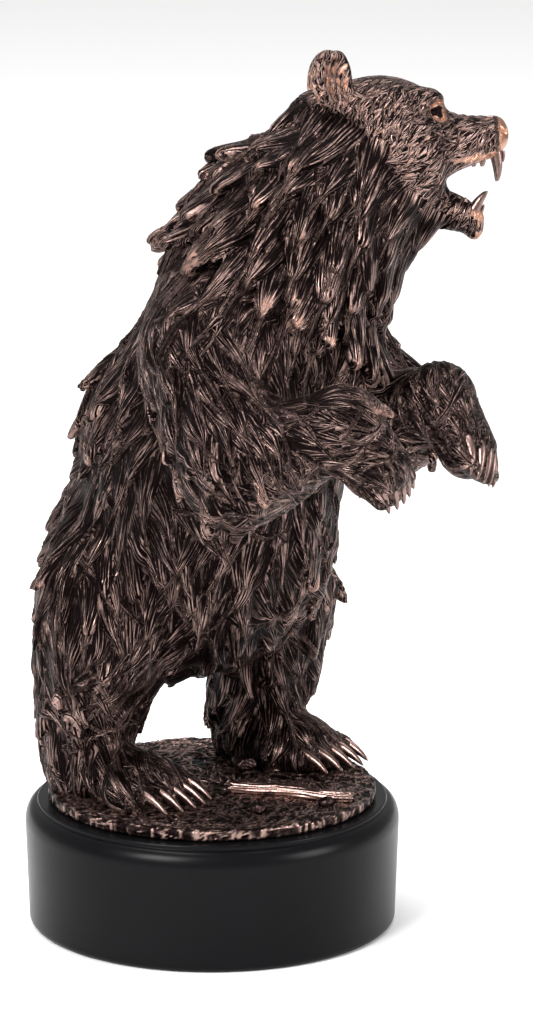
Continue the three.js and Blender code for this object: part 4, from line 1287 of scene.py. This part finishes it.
def patina_shade_group(colours):
    """Antique finish and painted shade, made once: dark patina and painted shade in hollows, then bronze,
    paler where worn, copper where rubbed bare.
    """
    name = "Antique patina and painted shade"
    if name in bpy.data.node_groups:
        return bpy.data.node_groups[name]
    inputs = [(label, "NodeSocketFloat", 0.0) for label in ("Rub", "Hollow")]
    inputs.append(("Place", "NodeSocketVector", None))
    outputs = [("Color", "NodeSocketColor"), ("Roughness", "NodeSocketFloat")]
    group, nodes, given, made = new_group(name, inputs, outputs)
    clouds = nodes.noise(given["Place"], 70.0, Detail=3.0)
    specks = nodes.noise(given["Place"], 900.0, Detail=2.0)
    uneven = nodes.math("ADD", nodes.math("MULTIPLY", clouds, 0.5), nodes.math("MULTIPLY", specks, 0.5))
    rub = nodes.math("ADD", given["Rub"], nodes.math("MULTIPLY", uneven, 0.6))
    rub = nodes.math("SUBTRACT", rub, 0.3)
    # The Hollow input is the patina and painted shade mask; it lays the near-black patina and shade colour.
    dark = nodes.between(given["Hollow"], 0.1, 0.8)
    base = nodes.mix(dark, opaque(colours.bronze), opaque(colours.patina_shade_colour))
    worn = nodes.mix(nodes.between(rub, 0.15, 0.9), base, opaque(colours.worn))
    nodes.feed(made["Color"], nodes.mix(nodes.between(rub, 0.8, 1.3), worn, opaque(colours.copper)))
    rough = nodes.math("ADD", nodes.math("MULTIPLY", dark, 0.2), nodes.math("MULTIPLY", specks, 0.14))
    nodes.feed(made["Roughness"], nodes.math("ADD", rough, 0.24))
    return group


def strand_group():
    """Fine hair lines along each lock, drawn together at its tip."""
    inputs = [("Tuft", "NodeSocketVector", None), ("Lines", "NodeSocketFloat", 4.4)]
    outputs = [("Height", "NodeSocketFloat"), ("Line", "NodeSocketFloat")]
    group, nodes, given, made = new_group("Hair strands", inputs, outputs)
    apart = nodes.add("ShaderNodeSeparateXYZ", Vector=given["Tuft"]).outputs
    across = nodes.math("MULTIPLY", apart[0], given["Lines"])
    along = nodes.math("MULTIPLY", apart[1], 0.28)
    tone = nodes.math("MULTIPLY", apart[2], 57.0)
    place = nodes.add("ShaderNodeCombineXYZ", X=across, Y=along, Z=tone).outputs[0]
    noise = nodes.noise(place, 1.0, Detail=1.0, Roughness=0.4)
    nodes.feed(made["Height"], noise)
    nodes.feed(made["Line"], nodes.between(noise, 0.43, 0.62))
    return group


def new_material(name):
    """A material with its nodes and its shader."""
    material = bpy.data.materials.new(name)
    material.use_nodes = True
    shader = next(n for n in material.node_tree.nodes if n.type == "BSDF_PRINCIPLED")
    return material, Nodes(material.node_tree), shader


def finish_with(nodes, shader, colours, rub, patina_and_shade, height, distance):
    """Feeds a shader from the group of patina, wear and painted shade, and from a height for its bumps."""
    sockets = {"Rub": rub, "Hollow": patina_and_shade, "Place": nodes.place()}
    group = nodes.add("ShaderNodeGroup", {"node_tree": patina_shade_group(colours)}, **sockets)
    for name in ("Color", "Roughness"):
        nodes.feed(shader.inputs["Base Color" if name == "Color" else name], group.outputs[name])
    shader.inputs["Metallic"].default_value = 1.0
    nodes.bump(shader, height, distance)


def fur_material(settings):
    """Cast fur with its patina, copper rubbed along the hair lines, and painted shade between the lines."""
    material, nodes, shader = new_material("Patinated fur")
    tuft = nodes.attribute("tuft", "Vector")
    strands = nodes.add("ShaderNodeGroup", {"node_tree": strand_group()}, Tuft=tuft)
    worn = nodes.attribute("rub")
    line = nodes.math("MAXIMUM", strands.outputs["Line"], nodes.between(worn, 0.6, 0.95))
    rub = nodes.math("MULTIPLY", nodes.math("ADD", worn, 0.3), line)
    # Painted shade between the hair lines, which are only bumps: darker where the line value is low.
    shade_between_lines = nodes.math("MULTIPLY", nodes.math("SUBTRACT", 1.0, line), 0.8)
    patina_and_shade = nodes.math("ADD", nodes.attribute("patina_and_shade"), shade_between_lines, clamp=True)
    finish_with(nodes, shader, settings, rub, patina_and_shade, strands.outputs["Height"], settings.hair_depth)
    return material


def cast_material(name, settings, rub, grain, depth):
    """The same patina on claws, stones or ground: rubbed evenly, with a grain of its own; on the ground it
    also lays the painted shade between the blades.
    """
    material, nodes, shader = new_material(name)
    noise = nodes.noise(nodes.place(), grain, Detail=3.0)
    rubbed = nodes.math("ADD", nodes.attribute("rub"), rub)
    patina_and_shade = nodes.math("ADD", nodes.attribute("patina_and_shade"), nodes.math("MULTIPLY", noise, 0.3))
    finish_with(nodes, shader, settings, rubbed, patina_and_shade, noise, depth)
    return material


def lacquer_material(settings):
    """Satin black lacquer with a faint unevenness."""
    material, nodes, shader = new_material("Black lacquer")
    place = nodes.place()
    noise = nodes.noise(place, 35.0, Detail=4.0)
    colour = nodes.mix(noise, opaque(settings.lacquer), opaque(settings.lacquer, 1.5))
    nodes.feed(shader.inputs["Base Color"], colour)
    nodes.feed(shader.inputs["Roughness"], nodes.between(noise, 0.2, 0.8, 0.26, 0.32))
    shader.inputs["Specular IOR Level"].default_value = 0.09
    nodes.bump(shader, nodes.noise(place, 1600.0, Detail=1.0), 0.00005, 0.25)
    return material


# Stage


VIEW_AZIMUTH = math.radians(-50)
VIEW_DROP = math.radians(14.268)
VIEW_SWING = math.atan(55 / 6143) / math.cos(VIEW_DROP)
VIEW_PLACE = Vector((-1.53209, -1.28558, 0.652))
VIEW_LENS = 217.2
LIT_PLACE = Vector((0.01, -0.02, 0.17))
FLOOR_HALF = 9
AMBIENT = 0.5


def make_camera():
    """The camera at the photograph's angle: level, looking down and swung a little to one side."""
    turn = VIEW_AZIMUTH - VIEW_SWING
    right = Vector((math.cos(turn), math.sin(turn), 0))
    level = Vector((-math.sin(turn), math.cos(turn), 0))
    ahead = level * math.cos(VIEW_DROP) - Vector((0, 0, math.sin(VIEW_DROP)))
    above = right.cross(ahead)
    data = bpy.data.cameras.new("camera")
    data.lens = VIEW_LENS
    data.sensor_width = 36
    data.clip_start, data.clip_end = 0.05, 60
    matrix = Matrix((right, above, -ahead)).transposed().to_4x4()
    matrix.translation = VIEW_PLACE
    camera = put("camera", data)
    camera.matrix_world = matrix
    bpy.context.scene.camera = camera


def make_light(name, place, energy, size):
    """A soft square light that looks at the statue."""
    data = bpy.data.lights.new(name, "AREA")
    data.energy, data.size = energy, size
    light = put(name, data)
    light.location = place
    light.rotation_mode = "QUATERNION"
    light.rotation_quaternion = (LIT_PLACE - Vector(place)).to_track_quat("-Z", "Y")


def make_floor(settings):
    """A wide pale floor."""
    corners = [(x * FLOOR_HALF, y * FLOOR_HALF, 0) for x, y in ((-1, -1), (1, -1), (1, 1), (-1, 1))]
    mesh = bpy.data.meshes.new("floor")
    mesh.from_pydata(corners, [], [(0, 1, 2, 3)])
    floor = put("floor", mesh)
    material, nodes, shader = new_material("Pale floor")
    colour = nodes.mix(nodes.noise(nodes.place(), 1.5), opaque(settings.floor), opaque(settings.floor, 0.97))
    nodes.feed(shader.inputs["Base Color"], colour)
    shader.inputs["Roughness"].default_value = 0.7
    mesh.materials.append(material)


# Add-on


class BearSettings(bpy.types.PropertyGroup):
    """Hair and finish of the bear."""

    hair_height: bpy.props.FloatProperty(
        name="Hair height", description="Height of the hair, 1 as modelled", default=1.0, min=0.0, max=2.0
    )
    hair_depth: bpy.props.FloatProperty(
        name="Line depth", description="Depth of the hair lines", default=0.0013, unit="LENGTH", precision=5
    )
    # Near-black of the patina, and of the painted shade in creases, under the locks and between the hair
    # lines.
    patina_shade_colour: bpy.props.FloatVectorProperty(
        name="Recess", description="Colour in the hollows", default=(0.006, 0.0035, 0.0036), subtype="COLOR"
    )
    bronze: bpy.props.FloatVectorProperty(
        name="Bronze", description="Colour of the casting", default=(0.036, 0.0225, 0.0205), subtype="COLOR"
    )
    worn: bpy.props.FloatVectorProperty(
        name="Worn", description="Colour on crests of the hair", default=(0.36, 0.24, 0.21), subtype="COLOR"
    )
    copper: bpy.props.FloatVectorProperty(
        name="Copper", description="Colour where it is bare", default=(0.5, 0.26, 0.17), subtype="COLOR"
    )


class PlinthSettings(bpy.types.PropertyGroup):
    """Finish of the plinth."""

    lacquer: bpy.props.FloatVectorProperty(
        name="Lacquer", description="Colour of the plinth", default=(0.0025, 0.0025, 0.003), subtype="COLOR"
    )


class StageSettings(bpy.types.PropertyGroup):
    """Floor and light."""

    floor: bpy.props.FloatVectorProperty(
        name="Floor", description="Colour of the floor", default=(0.93, 0.93, 0.93), subtype="COLOR"
    )
    light: bpy.props.FloatProperty(
        name="Light", description="Power of the main light", default=48.0, min=0.0, subtype="POWER"
    )


class STATUE_OT_bear(bpy.types.Operator):
    """Builds the bear's skin with its fur."""

    bl_idname = "statue.bear"
    bl_label = "Bear"

    def execute(self, context):
        settings = context.scene.statue_bear
        build_bear(fur_material(settings), settings.hair_height, 1.0)
        return {"FINISHED"}


class STATUE_OT_claws(bpy.types.Operator):
    """Builds the claws and the teeth."""

    bl_idname = "statue.claws"
    bl_label = "Claws and teeth"

    def execute(self, context):
        material = cast_material("Rubbed horn", context.scene.statue_bear, 0.55, 500.0, 0.0002)
        make_horns("claws", all_claws(), material)
        make_horns("teeth", all_teeth(), material)
        return {"FINISHED"}


class STATUE_OT_ground(bpy.types.Operator):
    """Builds the ground, the stick and the stones."""

    bl_idname = "statue.ground"
    bl_label = "Ground, stick and stones"

    def execute(self, context):
        settings = context.scene.statue_bear
        make_ground(cast_material("Cast turf", settings, 0.2, 900.0, 0.0003))
        make_stick(cast_material("Cast bark", settings, 0.6, 700.0, 0.0002))
        make_stones(cast_material("Cast stone", settings, 0.2, 800.0, 0.0003))
        return {"FINISHED"}


class STATUE_OT_plinth(bpy.types.Operator):
    """Builds the turned plinth."""

    bl_idname = "statue.plinth"
    bl_label = "Plinth"

    def execute(self, context):
        make_plinth(lacquer_material(context.scene.statue_plinth))
        return {"FINISHED"}


class STATUE_OT_stage(bpy.types.Operator):
    """Builds the floor, the lights and the camera."""

    bl_idname = "statue.stage"
    bl_label = "Stage"

    def execute(self, context):
        settings = context.scene.statue_stage
        make_floor(settings)
        make_light("key", (-1.6, -0.1, 1.3), settings.light, 0.8)
        make_light("fill", (0.5, -1.8, 0.8), settings.light * 0.5, 0.8)
        make_light("top", (0.2, 0.2, 2.1), settings.light * 0.8, 1.2)
        world = bpy.data.worlds.new("world")
        world.use_nodes = True
        background = next(n for n in world.node_tree.nodes if n.type == "BACKGROUND")
        background.inputs["Color"].default_value = (1, 1, 1, 1)
        background.inputs["Strength"].default_value = AMBIENT
        context.scene.world = world
        context.scene.view_settings.view_transform = "Standard"
        make_camera()
        return {"FINISHED"}


OPERATORS = (STATUE_OT_bear, STATUE_OT_claws, STATUE_OT_ground, STATUE_OT_plinth, STATUE_OT_stage)


class STATUE_PT_panel(bpy.types.Panel):
    """Lists the pieces and their settings."""

    bl_idname = "STATUE_PT_panel"
    bl_label = "Cast bear statue"
    bl_space_type = "VIEW_3D"
    bl_region_type = "UI"
    bl_category = "Statue"

    def draw(self, context):
        for name in SETTINGS:
            settings = getattr(context.scene, name)
            for field in settings.__annotations__:
                self.layout.prop(settings, field)
        for operator in OPERATORS:
            self.layout.operator(operator.bl_idname)


SETTINGS = {"statue_bear": BearSettings, "statue_plinth": PlinthSettings, "statue_stage": StageSettings}
CLASSES = (*SETTINGS.values(), *OPERATORS, STATUE_PT_panel)


def register():
    """Registers the classes and hangs the settings on the scene."""
    for item in CLASSES:
        bpy.utils.register_class(item)
    for name, group in SETTINGS.items():
        setattr(bpy.types.Scene, name, bpy.props.PointerProperty(type=group))


def unregister():
    """Takes the settings and the classes away again."""
    for name in SETTINGS:
        delattr(bpy.types.Scene, name)
    for item in reversed(CLASSES):
        bpy.utils.unregister_class(item)


def main():
    """Builds every piece and the stage."""
    register()
    bpy.ops.statue.bear()
    bpy.ops.statue.claws()
    bpy.ops.statue.ground()
    bpy.ops.statue.plinth()
    bpy.ops.statue.stage()


if __name__ == "__main__":
    main()
